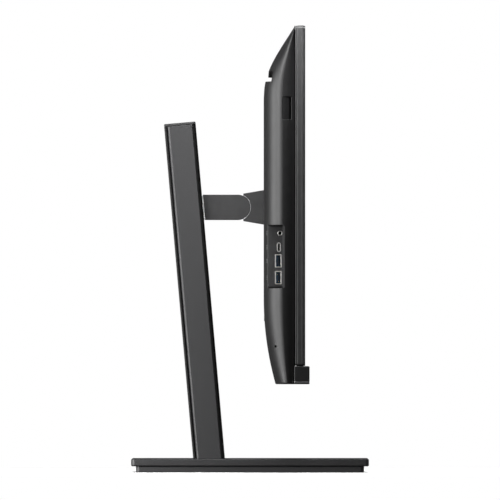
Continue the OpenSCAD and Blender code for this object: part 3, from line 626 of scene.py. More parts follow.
def cover_windows():
    """Every opening in the rear cover."""
    holes = []
    recess = 63
    holes.append(window(-recess, recess, TILT.z - recess, TILT.z + recess, 5))
    slot_x, slot_w, slot_edge = 9, 5.2, 2
    for k in range(-18, 19):
        x = k * slot_x
        holes.append(window(x - slot_w / 2, x + slot_w / 2,
                            GROOVE_LOW + slot_edge, GROOVE_HIGH - slot_edge, 1))
    vent_w, vent_h, vent_pitch, vent_start = 3, 20, 8, 92
    for side in (-1, 1):
        for k in range(19):
            x = side * (vent_start + k * vent_pitch)
            for z in (222, 247):
                holes.append(window(x - vent_w / 2, x + vent_w / 2,
                                    z - vent_h / 2, z + vent_h / 2, vent_w / 2))
    screw_r = 3.5
    for x in (-241, 241):
        for z in (168, 396):
            holes.append(window(x - screw_r, x + screw_r, z - screw_r, z + screw_r, screw_r))
    lock_x, lock_z, lock_w, lock_h = 250, 212, 3.6, 1.5
    holes.append(window(lock_x - lock_w, lock_x + lock_w, lock_z - lock_h, lock_z + lock_h, lock_h))
    holes.append(window(TRAY_LOW.x - 0.2, TRAY_HIGH.x + 0.2, TRAY_LOW.z - 0.2, TRAY_HIGH.z + 0.1, 2))
    pocket_mid = (PANEL_LOW.z + PANEL_HIGH.z) / 2
    holes.append(window(left_u(PANEL_HIGH.y + 0.4, pocket_mid), left_u(PANEL_LOW.y - 0.1, pocket_mid),
                        PANEL_LOW.z - 0.1, PANEL_HIGH.z + 0.1, 4, 1))
    holes.append(window(left_u(READER.y + 8.6, READER.z), left_u(READER.y - 1.15, READER.z),
                        READER.z - 12.3, READER.z + 12.3, 2, 0.8))
    pin_z, pin_y, pin_r = 137, -27.5, 1.1
    u0, u1 = left_u(pin_y + pin_r, pin_z), left_u(pin_y - pin_r, pin_z)
    holes.append(window(u0, u1, pin_z - pin_r, pin_z + pin_r, abs(u1 - u0) / 2, pin_r))
    return holes


def spread(lines, step):
    """Sorted grid lines, with more put in wherever two are further apart than step(value)."""
    lines = sorted(lines)
    kept = [lines[0]]
    for line in lines[1:]:
        if line - kept[-1] < 0.02:
            continue
        count = math.ceil((line - kept[-1]) / step(line) - 1e-6)
        start = kept[-1]
        kept += [start + (line - start) * k / count for k in range(1, count + 1)]
    return kept


def nearest(lines, value):
    return min(range(len(lines)), key=lambda k: abs(lines[k] - value))


def rear_cover():
    """The cover's skin as a grid that every opening's edges fall on, then given its wall."""
    holes = cover_windows()
    edge_u = FLAT_X + QUARTER + UNDERCUT
    u_lines = [-edge_u, -FLAT_X - QUARTER, -FLAT_X, FLAT_X, FLAT_X + QUARTER, edge_u]
    z_lines = [HEAD_LOW, HEAD_LOW + SLOPE_LOW, GROOVE_LOW, GROOVE_HIGH, HEAD_TOP - SLOPE_TOP]
    z_lines += [HEAD_TOP - TOP_CORNER_R * s for s in (0.1, 0.2, 0.4, 0.65, 1)]
    z_lines += [HEAD_LOW + LOW_CORNER_R * s for s in (0.05, 0.2, 0.5, 1)]
    for u0, u1, z0, z1, ru, rz in holes:
        u_lines += [u0, u0 + ru, u1 - ru, u1]
        z_lines += [z0, z0 + rz, z1 - rz, z1]
    u_lines = spread(u_lines, lambda u: 12 if abs(u) <= FLAT_X else 5)
    z_lines = spread(z_lines, lambda z: 3.5 if z > HEAD_TOP - SLOPE_TOP else 6)
    low_row, high_row = nearest(z_lines, GROOVE_LOW), nearest(z_lines, GROOVE_HIGH)
    rows = [(z, False) for z in z_lines[:low_row + 1]]
    rows += [(z, True) for z in z_lines[low_row:high_row + 1]]
    rows += [(z, False) for z in z_lines[high_row:]]

    def row_of(z):
        k = nearest(z_lines, z)
        return k + (k > low_row) + (k > high_row)

    bm = bmesh.new()
    made = {}

    def vert(i, j):
        if (i, j) not in made:
            made[i, j] = bm.verts.new(cover_point(u_lines[i], *rows[j]))
        return made[i, j]

    inside = set()
    for u0, u1, z0, z1, ru, rz in holes:
        across = [nearest(u_lines, u) for u in (u0, u0 + ru, u1 - ru, u1)]
        up = [row_of(z) for z in (z0, z0 + rz, z1 - rz, z1)]
        inside |= {(i, j) for i in range(across[0], across[3]) for j in range(up[0], up[3])}
        for i0, i1 in ((across[0], across[1]), (across[3], across[2])):
            for j0, j1 in ((up[0], up[1]), (up[3], up[2])):
                add_corner(bm, vert, u_lines, rows, (i0, i1), (j0, j1))
    for i in range(len(u_lines) - 1):
        for j in range(len(rows) - 1):
            if (i, j) not in inside:
                bm.faces.new((vert(i, j), vert(i + 1, j), vert(i + 1, j + 1), vert(i, j + 1)))
    for j in (0, len(rows) - 1):
        bm.faces.new([vert(i, j) for i in range(len(u_lines))])
    bmesh.ops.remove_doubles(bm, verts=bm.verts, dist=0.002)
    bmesh.ops.dissolve_degenerate(bm, edges=bm.edges, dist=0.0005)
    piece = make_piece("rear_cover_shell", bm, "cover", "head", ["rear_cover"])
    thin = piece.vertex_groups.new(name="thin_at_top")
    for v in piece.data.vertices:
        depth = DEPTH * depth_share(v.co.z / MM)
        thin.add([v.index], min(1, depth / (3 * WALL)), "REPLACE")
    wall = piece.modifiers.new("wall", "SOLIDIFY")
    wall.vertex_group = thin.name
    wall.thickness = WALL * MM
    wall.offset = -1
    piece.modifiers.move(len(piece.modifiers) - 1, 0)
    bevel = piece.modifiers.new("rounding", "BEVEL")
    bevel.width = 0.35 * MM
    bevel.segments = 2
    bevel.miter_outer = "MITER_ARC"
    bevel.angle_limit = math.radians(40)
    bevel.use_clamp_overlap = False
    bevel.loop_slide = False
    piece.modifiers.move(len(piece.modifiers) - 1, 1)


def add_corner(bm, vert, u_lines, rows, across, up):
    """Fills the corner outside an opening's round corner, up to the grid lines round it."""
    (i0, i1), (j0, j1) = across, up
    di = 1 if i1 > i0 else -1
    dj = 1 if j1 > j0 else -1
    ring = [vert(i, j0) for i in range(i0, i1 + di, di)]
    steps = 6
    for k in range(1, steps):
        a = math.radians(90 * k / steps)
        u = u_lines[i1] + (u_lines[i0] - u_lines[i1]) * math.sin(a)
        z = rows[j1][0] + (rows[j0][0] - rows[j1][0]) * math.cos(a)
        ring.append(bm.verts.new(cover_point(u, z, rows[j0][1])))
    ring += [vert(i0, j) for j in range(j1, j0, -dj)]
    bm.faces.new(ring)


# ---- front of the head

def bezel():
    """The front frame: one closed section swept round the screen, with its fine groove."""
    w = BEZEL_HIGH.x - BEZEL_LOW.x
    h = BEZEL_HIGH.z - BEZEL_LOW.z
    centre = (0, (BEZEL_LOW.z + BEZEL_HIGH.z) / 2)
    front, back = BEZEL_LOW.y, BEZEL_HIGH.y - FORWARD
    groove, groove_w, groove_d = back - 1.9, 0.5, 0.55
    band = front + 3.1
    section = [(-2, front), (-0.7, front), (-0.25, front + 0.15), (-0.05, front + 0.5),
               (0, front + 1), (0, band - 0.3), (-0.12, band - 0.12), (-0.12, band + 0.12), (0, band + 0.3),
               (0, groove - groove_w), (-0.1, groove - groove_w / 2),
               (-groove_d, groove - groove_w / 2), (-groove_d, groove + groove_w / 2),
               (-0.35, groove + groove_w / 2), (-0.3, groove + groove_w), (-0.3, back - 0.5),
               (-0.4, back - 0.15), (-0.8, back), (-12, back), (-12, back - 2), (-2, back - 2)]
    rings = [[on_xz(a, b, y) for a, b in rounded_rect(w + 2 * o, h + 2 * o, max(3 + o, 0.4), centre)]
             for o, y in section]
    bm = bmesh.new()
    add_loft(bm, rings, closed=True)
    piece = make_piece("front_frame", bm, "bezel", "head", ["front_bezel"])
    knob_low, knob_high = mm_box("webcam_shutter")
    slot = bmesh.new()
    add_slab(slot, 15.4, 4.8, 0.8, BEZEL_HIGH.z - 1, BEZEL_HIGH.z + 2, on_xy, 0.2, 0.2,
             (3.5, (knob_low.y + knob_high.y) / 2))
    carve(piece, slot)


def glass():
    w = GLASS_HIGH.x - GLASS_LOW.x
    h = GLASS_HIGH.z - GLASS_LOW.z
    centre = (0, (GLASS_LOW.z + GLASS_HIGH.z) / 2)
    bm = bmesh.new()
    add_slab(bm, w, h, 3, GLASS_LOW.y, GLASS_HIGH.y, on_xz, 0.35, 0.15, centre)
    make_piece("screen_pane", bm, "screen", "head", ["screen_glass"])


def bar_plan(inset, r):
    """The speaker bar's outline in plan, at an inset from its faces."""
    w = BAR_HIGH.x - BAR_LOW.x - 2 * inset
    d = BAR_HIGH.y - 0.5 - BAR_LOW.y - 2 * inset
    return rounded_rect(w, d, max(r - inset, 0.1), (0, (BAR_LOW.y + BAR_HIGH.y - 0.5) / 2))


def speaker_bar():
    low, high = BAR_LOW.z, BAR_HIGH.z
    groove_low, groove_high = TRIM_LOW.z - 0.02, TRIM_HIGH.z + 0.02
    corner = 0.5
    levels = [(0.9, low), (0.35, low + 0.12), (0.08, low + 0.45), (0, low + 0.9),
              (0, groove_low - 0.25), (0.2, groove_low), (2.6, groove_low), (2.6, groove_high),
              (0.2, groove_high), (0, groove_high + 0.25), (0, high - 1.1),
              (0.12, high - 0.5), (0.45, high - 0.14), (1.0, high)]
    bm = bmesh.new()
    add_loft(bm, [[on_xy(a, b, z) for a, b in bar_plan(inset, corner)] for inset, z in levels])
    piece = make_piece("speaker_bar_housing", bm, "bar", "head", ["speaker_bar"])
    recess = bmesh.new()
    add_slab(recess, 460, 10, 1.2, BAR_LOW.y - 2, BAR_LOW.y + 2.2, on_xz, 0.1, 0.1,
             (0, (GRILLE_LOW.z + GRILLE_HIGH.z) / 2))
    carve(piece, recess)
    well = bmesh.new()
    add_prism(well, pill(12.6, 3.1, (BUTTON.x, BUTTON.z)), BAR_LOW.y - 2, BAR_LOW.y + 3.4, on_xz)
    carve(piece, well)


def bar_trim():
    """The satin strip that runs round the bar in its groove."""
    outline = bar_plan(0.12, 0.5)
    inner = bar_plan(2.4, 0.3)
    bm = bmesh.new()
    add_prism(bm, outline, TRIM_LOW.z, TRIM_HIGH.z, on_xy, [inner])
    make_piece("bar_trim_strip", bm, "trim", "head", ["bar_trim"], 0.18)


def grille():
    z = (GRILLE_LOW.z + GRILLE_HIGH.z) / 2
    slots = [pill(8, 2.4, (x, z), 5) for x in range(-220, 221, 11)]
    outline = rounded_rect(459, 9.6, 1.0, (0, z))
    bm = bmesh.new()
    add_prism(bm, outline, GRILLE_LOW.y, GRILLE_HIGH.y, on_xz, slots)
    make_piece("speaker_grille_plate", bm, "grille", "head",
               ["speaker_grille"], 0.2, 2)


def power_button():
    low, high = mm_box("power_button")
    bm = bmesh.new()
    centre = (BUTTON.x, BUTTON.z)
    add_slab(bm, 12, 2.6, 1.29, low.y, high.y - 0.8, on_xz, 0.55, 0.1, centre)
    add_slab(bm, 14.5, 3, 1.4, high.y - 0.8, high.y, on_xz, 0.1, 0.1, centre)
    make_piece("power_key", bm, "button", "button", ["power_button"])


def webcam():
    """The camera's dark body, its lens and the ring round it, behind the glass."""
    low, high = mm_box("webcam_module")
    lens_z = BEZEL_HIGH.z - 6.5
    body = bmesh.new()
    add_slab(body, high.x - low.x, high.z - low.z, 1, low.y + 1, high.y, on_xz, 0.3, 0.3,
             (0, (low.z + high.z) / 2))
    add_washer(body, [(2.0, low.y + 1.1), (2.0, low.y + 0.2), (1.8, low.y), (1.3, low.y + 0.4),
                      (1.2, low.y + 1.1)], (0, lens_z), on_xz)
    make_piece("webcam_body", body, "socket", "head", ["webcam_module"], 0.1)
    lens = bmesh.new()
    dome = [(1.18 * math.cos(math.radians(a)), low.y + 0.8 - 0.4 * math.sin(math.radians(a)))
            for a in range(0, 91, 15)]
    add_turned(lens, [(1.18, low.y + 1.1)] + dome, (0, lens_z), on_xz)
    make_piece("webcam_lens", lens, "screen", "head")


def webcam_shutter():
    low, high = mm_box("webcam_shutter")
    z = high.z
    bm = bmesh.new()
    add_slab(bm, 5, 6.4, 0.8, low.y, low.y + 0.4, on_xz, 0.08, 0.08, (-6.5, low.z + 3.2))
    add_slab(bm, 9.6, 0.6, 0.2, low.y, low.y + 0.4, on_xz, 0.05, 0.05, (-4.2, z - 2.4))
    add_slab(bm, 1.2, 2.6, 0.3, z - 2.7, z - 0.7, on_xy, 0.1, 0.1, (0, low.y + 1.3))
    add_slab(bm, 8.2, 4.6, 0.7, z - 0.8, z, on_xy, 0.1, 0.3, (0, (low.y + high.y) / 2))
    for k in range(-2, 3):
        add_slab(bm, 0.5, 3.2, 0.2, z - 0.3, z, on_xy, 0.05, 0.12, (1.1 * k, (low.y + high.y) / 2))
    make_piece("shutter_slider", bm, "shutter", "shutter", ["webcam_shutter"])


# ---- side ports

PORT_X = PANEL_LOW.x + 12.3
PANEL_X = PANEL_HIGH.x
JACK = middle("audio_jack")
USB_C = middle("usb_c_port")
USB_A = [middle("usb_a_shell_upper"), middle("usb_a_shell_lower")]


def port_panel():
    """The pocket's floor with its four openings, and the wall that closes it in front."""
    front, rear = PANEL_LOW.y, PANEL_HIGH.y
    low, high = PANEL_LOW.z, PANEL_HIGH.z
    floor = [(front, low + 1.3), (rear, low + 1.3), (rear, high - 1.3), (front, high - 1.3)]
    holes = [ring_outline(3.0, (JACK.y, JACK.z)), pill(3.5, 9.3, (USB_C.y, USB_C.z))]
    holes += [rounded_rect(7.4, 14.4, 0.9, (p.y, p.z)) for p in USB_A]
    bm = bmesh.new()
    add_prism(bm, floor, PORT_X, PANEL_X, on_yz, holes)
    add_prism(bm, [(front, low), (front + 1.2, low), (front + 1.2, high), (front, high)],
              PANEL_LOW.x, PORT_X + 0.6, on_yz)
    for z in (low, high - 1.1):
        add_prism(bm, [(front, z), (rear, z), (rear, z + 1.1), (front, z + 1.1)],
                  PORT_X + 1.2, PANEL_X, on_yz)
    make_piece("port_panel", bm, "panel", "head", ["side_port_panel"], 0.25)


def audio_socket():
    x, r = PORT_X - 0.35, 1.78
    lip = [(r, x + 0.9), (r, x + 0.35), (r + 0.15, x + 0.08), (r + 0.4, x), (r + 0.75, x + 0.05),
           (r + 0.95, x + 0.25), (r + 1.0, x + 0.9)]
    bm = bmesh.new()
    add_washer(bm, lip, (JACK.y, JACK.z), on_yz)
    make_piece("audio_lip", bm, "port", "head")
    low, high = mm_box("audio_jack")
    body = bmesh.new()
    add_washer(body, [(r, x + 0.9), (2.5, x + 0.9), (2.5, x + 12), (r, x + 12)], (JACK.y, JACK.z), on_yz)
    add_prism(body, rounded_rect(7, 7, 0.6, (JACK.y, JACK.z)), PANEL_X + 0.1, high.x, on_yz,
              [ring_outline(r, (JACK.y, JACK.z))])
    make_piece("audio_body", body, "socket", "head", ["audio_jack"], 0.1)


def usb_c_socket():
    x = PORT_X - 0.2
    centre = (USB_C.y, USB_C.z)
    bm = bmesh.new()
    add_prism(bm, pill(4.3, 10.1, centre), x, x + 0.5, on_yz, [pill(2.3, 8.1, centre)])
    add_prism(bm, pill(3.3, 9.1, centre), x + 0.5, x + 8, on_yz, [pill(2.6, 8.4, centre)])
    make_piece("usb_c_shell", bm, "port", "head", ["usb_c_port"], 0.16)
    tongue = bmesh.new()
    add_slab(tongue, 0.7, 6.6, 0.2, x + 1.2, x + 7.9, on_yz, 0.15, 0.05, centre)
    add_prism(tongue, pill(2.5, 8.3, centre), x + 7.2, x + 8, on_yz)
    make_piece("usb_c_tongue", tongue, "socket", "head")
    pins = bmesh.new()
    for side in (-0.38, 0.38):
        for k in range(-5, 6):
            add_slab(pins, 0.08, 0.26, 0.03, x + 1.7, x + 6.5, on_yz, 0.02, 0.02,
                     (centre[0] + side, centre[1] + 0.5 * k))
    make_piece("usb_c_contacts", pins, "contact", "head")


def usb_a_socket(place, label):
    """A flared shell with four spring fingers, a blue tongue and its five contacts."""
    x = PORT_X - 0.15
    centre = (place.y, place.z)
    inner = rounded_rect(5.1, 12.5, 0.5, centre)
    bm = bmesh.new()
    add_prism(bm, rounded_rect(7.3, 14.3, 0.9, centre), x, x + 0.6, on_yz, [inner])
    add_prism(bm, rounded_rect(6.2, 13.4, 0.8, centre), x + 0.6, x + 14, on_yz, [inner])
    for side in (-1, 1):
        for z in (-3.2, 3.2):
            add_slab(bm, 0.35, 2.2, 0.15, x + 2.5, x + 7.5, on_yz, 0.15, 0.15,
                     (centre[0] + side * 2.5, centre[1] + z))
    make_piece("usb_a_case_" + label, bm, "port", "head", ["usb_a_shell_" + label], 0.2)
    tongue_y = centre[0] + 1.2
    bm = bmesh.new()
    add_slab(bm, 1.9, 11.2, 0.3, x + 1.5, x + 13.4, on_yz, 0.35, 0.05, (tongue_y, centre[1]))
    add_prism(bm, rounded_rect(5, 12.2, 0.4, centre), x + 12, x + 13.4, on_yz)
    make_piece("usb_a_insert_" + label, bm, "tongue", "head",
               ["usb_a_tongue_" + label])
    bm = bmesh.new()
    for k in (-1.5, -0.5, 0.5, 1.5):
        add_slab(bm, 0.12, 1.2, 0.05, x + 2.6, x + 11, on_yz, 0.04, 0.04,
                 (tongue_y - 0.98, centre[1] + 2.5 * k))
    for k in (-2, -1, 0, 1, 2):
        add_slab(bm, 0.1, 0.8, 0.04, x + 1.6, x + 2.3, on_yz, 0.03, 0.03,
                 (tongue_y - 0.96, centre[1] + 2.0 * k))
    make_piece("usb_a_contacts_" + label, bm, "contact", "head")


def port_marks():
    """Plain dashes printed on the cover beside each socket, in place of symbols."""
    rows = [JACK.z, USB_C.z, USB_A[0].z, USB_A[1].z]
    rear_y = PANEL_HIGH.y + 1.7
    front_y = rear_y - 1.0
    thick, dash, gap = 0.04, 0.8, 1.7
    bm = bmesh.new()
    for z in rows:
        for k in (-1, 0, 1):
            u0, u1 = left_u(rear_y, z), left_u(front_y, z)
            z0 = z + k * gap - dash / 2
            rings = []
            for s in range(5):
                u = u0 + (u1 - u0) * s / 4
                rings.append([cover_point(u, zz, lift=h) for zz, h in
                              ((z0, -thick), (z0 + dash, -thick), (z0 + dash, thick), (z0, thick))])
            add_loft(bm, rings)
    make_piece("port_marks", bm, "marks", "head")


def card_scoop():
    """The finger dish beside the card slot, which closes the rear part of its opening."""
    front, rear = READER.y + 1.2, READER.y + 9.0
    z0, z1 = READER.z - 12.9, READER.z + 12.9
    rim, dip, back, steps = 0.3, 1.3, 3.4, 10
    outline = []
    for k in range(steps + 1):
        s = k / steps
        y = front + (rear - front) * s
        skin = cover_point(left_u(y, READER.z), READER.z).x
        outline.append((y, skin + rim + dip * (1 - s) ** 1.5))
    outline += [(rear, outline[-1][1] + back), (front, outline[0][1] + back)]
    bm = bmesh.new()
    add_loft(bm, [[(x, y, z) for y, x in outline] for z in (z0, z1)])
    make_piece("card_finger_dish", bm, "cover", "head", rounding=0.15)


# ---- stand

def base():
    bm = bmesh.new()
    add_slab(bm, BASE_HIGH.x - BASE_LOW.x, BASE_HIGH.y - BASE_LOW.y, 4, BASE_LOW.z, BASE_HIGH.z,
             on_xy, 1.5, 1.0)
    make_piece("base_cover_plate", bm, "base", "stand", ["base_plate"])
    # The ballast's lighter paint is partly painted light, against the shade under the upper plate.
    bm = bmesh.new()
    add_slab(bm, BALLAST_HIGH.x - BALLAST_LOW.x, BALLAST_HIGH.y - BALLAST_LOW.y, 4,
             0.3, BALLAST_HIGH.z, on_xy, 0.5, 0.5)
    make_piece("base_ballast", bm, "ballast", "stand", ["ballast_plate"])
    low, high = mm_box("base_feet")
    r = 9
    bm = bmesh.new()
    for x in (low.x + r, 0, high.x - r):
        for y in (low.y + r, high.y - r):
            profile = [(r - 0.6, 0), (r - 0.2, 0.1), (r, 0.4), (r, high.z + 0.05)]
            add_turned(bm, profile, (x, y), on_xy)
    make_piece("base_pads", bm, "feet", "stand", ["base_feet"])


def column_front(r_front, r_rear, inset, rear):
    """The column shell's outline: round corners in front, smaller ones where it ends behind."""
    half, front = COLUMN_W / 2 - inset, -COLUMN_T / 2 + inset
    return (arc(half - r_rear, rear - r_rear, r_rear, 0, 90, 6)
            + arc(-half + r_rear, rear - r_rear, r_rear, 90, 180, 6)
            + arc(-half + r_front, front + r_front, r_front, 180, 270, 8)
            + arc(half - r_front, front + r_front, r_front, 270, 360, 8))


def column_part(name, outline, top, material, replaced=()):
    """A length of the column, its foot cut level with the base."""
    foot = -(COLUMN_T / 2) * math.tan(LEAN)
    clear = 0.05
    bm = bmesh.new()
    add_prism(bm, outline, foot, top, on_xy)
    for v in bm.verts:
        if v.co.z < 0.01:
            v.co.z = v.co.y * math.tan(LEAN) + clear
    return make_piece(name, bm, material, "stand", replaced, 0.3, matrix=IN_COLUMN)


def column_outline(front, rear):
    """The housing's section: a wall on three sides, open in front where the face strip goes."""
    wall, rear_wall, r = 2.2, 1.5, 2.6
    half = COLUMN_W / 2
    inner = half - wall
    outline = [(half, front), (half, rear - r)]
    outline += arc(half - r, rear - r, r, 0, 90, 6)
    outline += arc(-half + r, rear - r, r, 90, 180, 6)
    return outline + [(-half, rear - r), (-half, front), (-inner, front),
                      (-inner, rear - rear_wall), (inner, rear - rear_wall), (inner, front)]


def column():
    """Housing, face strip with the arm's slot in near-black painted shade, black strip behind, and the cap.
    """
    cap, cap_gap = 2.6, 0.3
    face_t, back_t, seam = 4, 3.2, 0.1
    rear = COLUMN_T / 2 - back_t - 0.15
    front = -COLUMN_T / 2 + face_t
    top = COLUMN_LEN - cap - cap_gap
    column_part("column_housing", column_outline(front + seam, rear), top, "column",
                ["column_shell"])
    # The face strip's near-black is painted shade, for the dark where the column's front corners turn away
    # from the lamps.
    face = column_part("column_face_strip", column_front(3.0, 0.1, 0, front), top,
                       "column_face_painted_shade")
    slot_w, slot_r = 17, 3
    cut = bmesh.new()
    add_slab(cut, slot_w, SLOT_HIGH - SLOT_LOW, slot_r, -COLUMN_T / 2 - 3, -COLUMN_T / 2 + 5,
             on_xz, 0.1, 0.1, (0, (SLOT_LOW + SLOT_HIGH) / 2))
    cut.transform(IN_COLUMN)
    carve(face, cut)
    back = rounded_rect(COLUMN_W - 1.2, back_t, 1.4, (0, COLUMN_T / 2 - back_t / 2), 5)
    column_part("column_back_strip", back, top, "column_back",
                ["column_rear_cover"])

    low = COLUMN_LEN - cap
    levels = [(0.1, low), (0, low + 0.15), (0, low + 1.6), (0.15, low + 2.1), (0.5, low + 2.45),
              (1.1, COLUMN_LEN)]
    rings = []
    for inset, z in levels:
        outline = column_front(3 - inset, 1.5 - inset, inset, COLUMN_T / 2 - inset)
        rings.append([(x, y, z) for x, y in outline])
    bm = bmesh.new()
    add_loft(bm, rings)
    make_piece("column_top_cap", bm, "cap", "stand", ["column_cap"],
               matrix=IN_COLUMN)


def arm_outline(r, gap):
    """The arm from the side: a round end on the tilt axis, cut to the column's lean behind."""
    rear = []
    for z in (TILT.z - r, TILT.z + r):
        local = COLUMN_Y - COLUMN_T / 2 / math.cos(LEAN) + (z - BASE_TOP) * math.tan(LEAN)
        rear.append((local - gap / math.cos(LEAN), z))
    return [rear[0], rear[1]] + arc(TILT.y, TILT.z, r, 90, 270, 36)


def arm():
    r = ARM_HIGH.z - TILT.z
    gap = 1.27
    for side, label in ((-1, "left"), (1, "right")):
        low, high = mm_box("arm_cover_" + label)
        bm = bmesh.new()
        add_prism(bm, arm_outline(r, gap), low.x, high.x, on_yz)
        make_piece("arm_side_" + label, bm, "arm", "lift", ["arm_cover_" + label], 0.45)


def arm_collar():
    """The bright wiper that closes the gap between the arm and the column, and slides with the arm."""
    r = ARM_HIGH.z - TILT.z
    near, thick = 0.1, 1.1
    outline = []
    for z, gap in ((TILT.z - r + 0.3, near), (TILT.z + r - 0.3, near),
                   (TILT.z + r - 0.3, near + thick), (TILT.z - r + 0.3, near + thick)):
        local = COLUMN_Y - COLUMN_T / 2 / math.cos(LEAN) + (z - BASE_TOP) * math.tan(LEAN)
        outline.append((local - gap / math.cos(LEAN), z))
    bm = bmesh.new()
    add_prism(bm, outline, ARM_LOW.x + 0.25, -ARM_LOW.x - 0.25, on_yz)
    make_piece("arm_wiper", bm, "wiper", "lift", rounding=0.15)


def bracket():
    """The flared bracket, its socket round the arm's end, and its plate on the head."""
    near = 14.9
    far = 18.8
    socket = 14.5
    flare_y = TILT.y - 6
    plate_y = BRACKET_LOW.y + 2.3
    half = ARM_HIGH.z - TILT.z + 9.3
    reach = math.degrees(math.acos((TILT.y - flare_y) / socket))
    outline = [(flare_y, TILT.z + near), (plate_y - 0.5, TILT.z + far), (plate_y - 0.5, TILT.z - far),
               (flare_y, TILT.z - near)]
    outline += arc(TILT.y, TILT.z, socket, 180 + reach, 180 - reach, 30)
    bm = bmesh.new()
    add_prism(bm, outline, -half, half, on_yz)
    lug = [(TILT.y - 16, TILT.z - 7), (TILT.y - 16, TILT.z + 7)]
    lug += arc(TILT.y, TILT.z, 11.5, 142, -142, 30)
    add_prism(bm, lug, -10.8, 10.8, on_yz, [ring_outline(4.05, (TILT.y, TILT.z))])
    size = BRACKET_HIGH.z - BRACKET_LOW.z
    pitch = 75
    holes = [ring_outline(2.2, (x * pitch / 2, TILT.z + z * pitch / 2), 24)
             for x in (-1, 1) for z in (-1, 1)]
    add_prism(bm, rounded_rect(size, size, 5, (0, TILT.z)), BRACKET_LOW.y, plate_y, on_xz, holes)
    make_piece("tilt_bracket_body", bm, "arm", "head", ["tilt_bracket"], 0.4)
    inner, outer = 13.82, 14.42
    low = mm_box("hinge_liner")[0]
    strip = (arc(TILT.y, TILT.z, outer, 180 - reach, 180 + reach, 40)
             + arc(TILT.y, TILT.z, inner, 180 + reach, 180 - reach, 40))
    for x0, x1, label in ((low.x, -11, "left"), (11, -low.x, "right")):
        bm = bmesh.new()
        add_prism(bm, strip, x0, x1, on_yz)
        make_piece("socket_liner_" + label, bm, "liner", "head",
                   ["hinge_liner"] if label == "left" else [], 0.1, 2)


# ---- screws

def add_screw(bm, centre, face, r, place):
    """A cap with a rounded rim and a hexagon socket, its face at a height along its axis."""
    socket_sides = 6
    rim = [(r, face - 1.6), (r, face - 0.35), (r - 0.15, face - 0.1), (r - 0.45, face)]
    rings = [[place(*p, h) for p in ring_outline(rr, centre, 24)] for rr, h in rim]
    socket = [(0.5 * r, face), (0.5 * r, face - 1.1)]
    for rr, h in socket:
        turns = [360 * k / 24 for k in range(24)]
        flat = math.cos(math.pi / socket_sides)
        ring = []
        for t in turns:
            within = (t % (360 / socket_sides)) - 180 / socket_sides
            rad = rr * flat / math.cos(math.radians(within))
            ring.append(place(centre[0] + rad * math.cos(math.radians(t)),
                              centre[1] + rad * math.sin(math.radians(t)), h))
        rings.append(ring)
    add_loft(bm, rings)


def screws():
    bm = bmesh.new()
    low, high = mm_box("cover_screws")
    for x in (low.x + 3, high.x - 3):
        for z in (low.z + 3, high.z - 3):
            add_screw(bm, (x, z), high.y, 3, on_xz)
    make_piece("cover_screw_heads", bm, "screw", "head", ["cover_screws"])
    bm = bmesh.new()
    low, high = mm_box("mount_screws")
    for x in (low.x + 3.6, high.x - 3.6):
        for z in (low.z + 3.6, high.z - 3.6):
            add_screw(bm, (x, z), high.y, 3.6, on_xz)
            add_turned(bm, [(1.9, low.y), (1.9, high.y - 1.5)], (x, z), on_xz, 20)
    make_piece("mount_screw_heads", bm, "steel", "head", ["mount_screws"])


# ---- CAD nodes that stay

KEPT = {
    "steel": ["base_screws", "arm_screws", "friction_washers", "network_port", "video_port",
              "rear_usb_ports"],
    "ground": ["guide_rails", "gas_spring_rod", "hinge_pin"],
    "casting": ["column_foot", "rail_bridge", "arm_body"],
    "neck": ["lift_carriage"],
    "bush": ["guide_bushes"],
    "spring": ["gas_spring_cylinder"],
    "frame": ["mount_frame"],
    "sheet": ["backlight_module", "chassis_plate"],
    "socket": ["card_reader", "rear_port_tray", "power_jack", "speaker_left", "speaker_right"],
    "board": ["motherboard", "memory_modules", "wifi_card", "side_board"],
    "storage": ["ssd_module"],
    "film": ["antennas"],
    "copper": ["heat_spreader"],
    "fan": ["fan_housing", "fan_impeller"],
}


def dress_kept_nodes():
    """Gives every CAD node that stays its material, and a small rounding on its edges."""
    for key, names in KEPT.items():
        for name in names:
            node = frame["nodes"][name]
            for place in node.material_slots:
                place.material = MAT[key]
            weld = node.modifiers.new("weld", "WELD")
            weld.merge_threshold = 0.002 * MM
            round_edges(node, 0.15, 2)


# ---- studio

def add_light(name, place, target, size, power, diffuse=True, spread=180):
    """An area light aimed at a target. One that isn't diffuse shows in reflections only."""
    light = bpy.data.lights.new(name, "AREA")
    light.shape = "RECTANGLE"
    light.size, light.size_y = size
    light.energy = power
    light.spread = math.radians(spread)
    lamp = bpy.data.objects.new(name, light)
    lamp.location = place
    lamp.rotation_mode = "QUATERNION"
    lamp.rotation_quaternion = (Vector(target) - Vector(place)).to_track_quat("-Z", "Y")
    lamp.visible_camera = False
    lamp.visible_diffuse = diffuse
    scene.collection.objects.link(lamp)


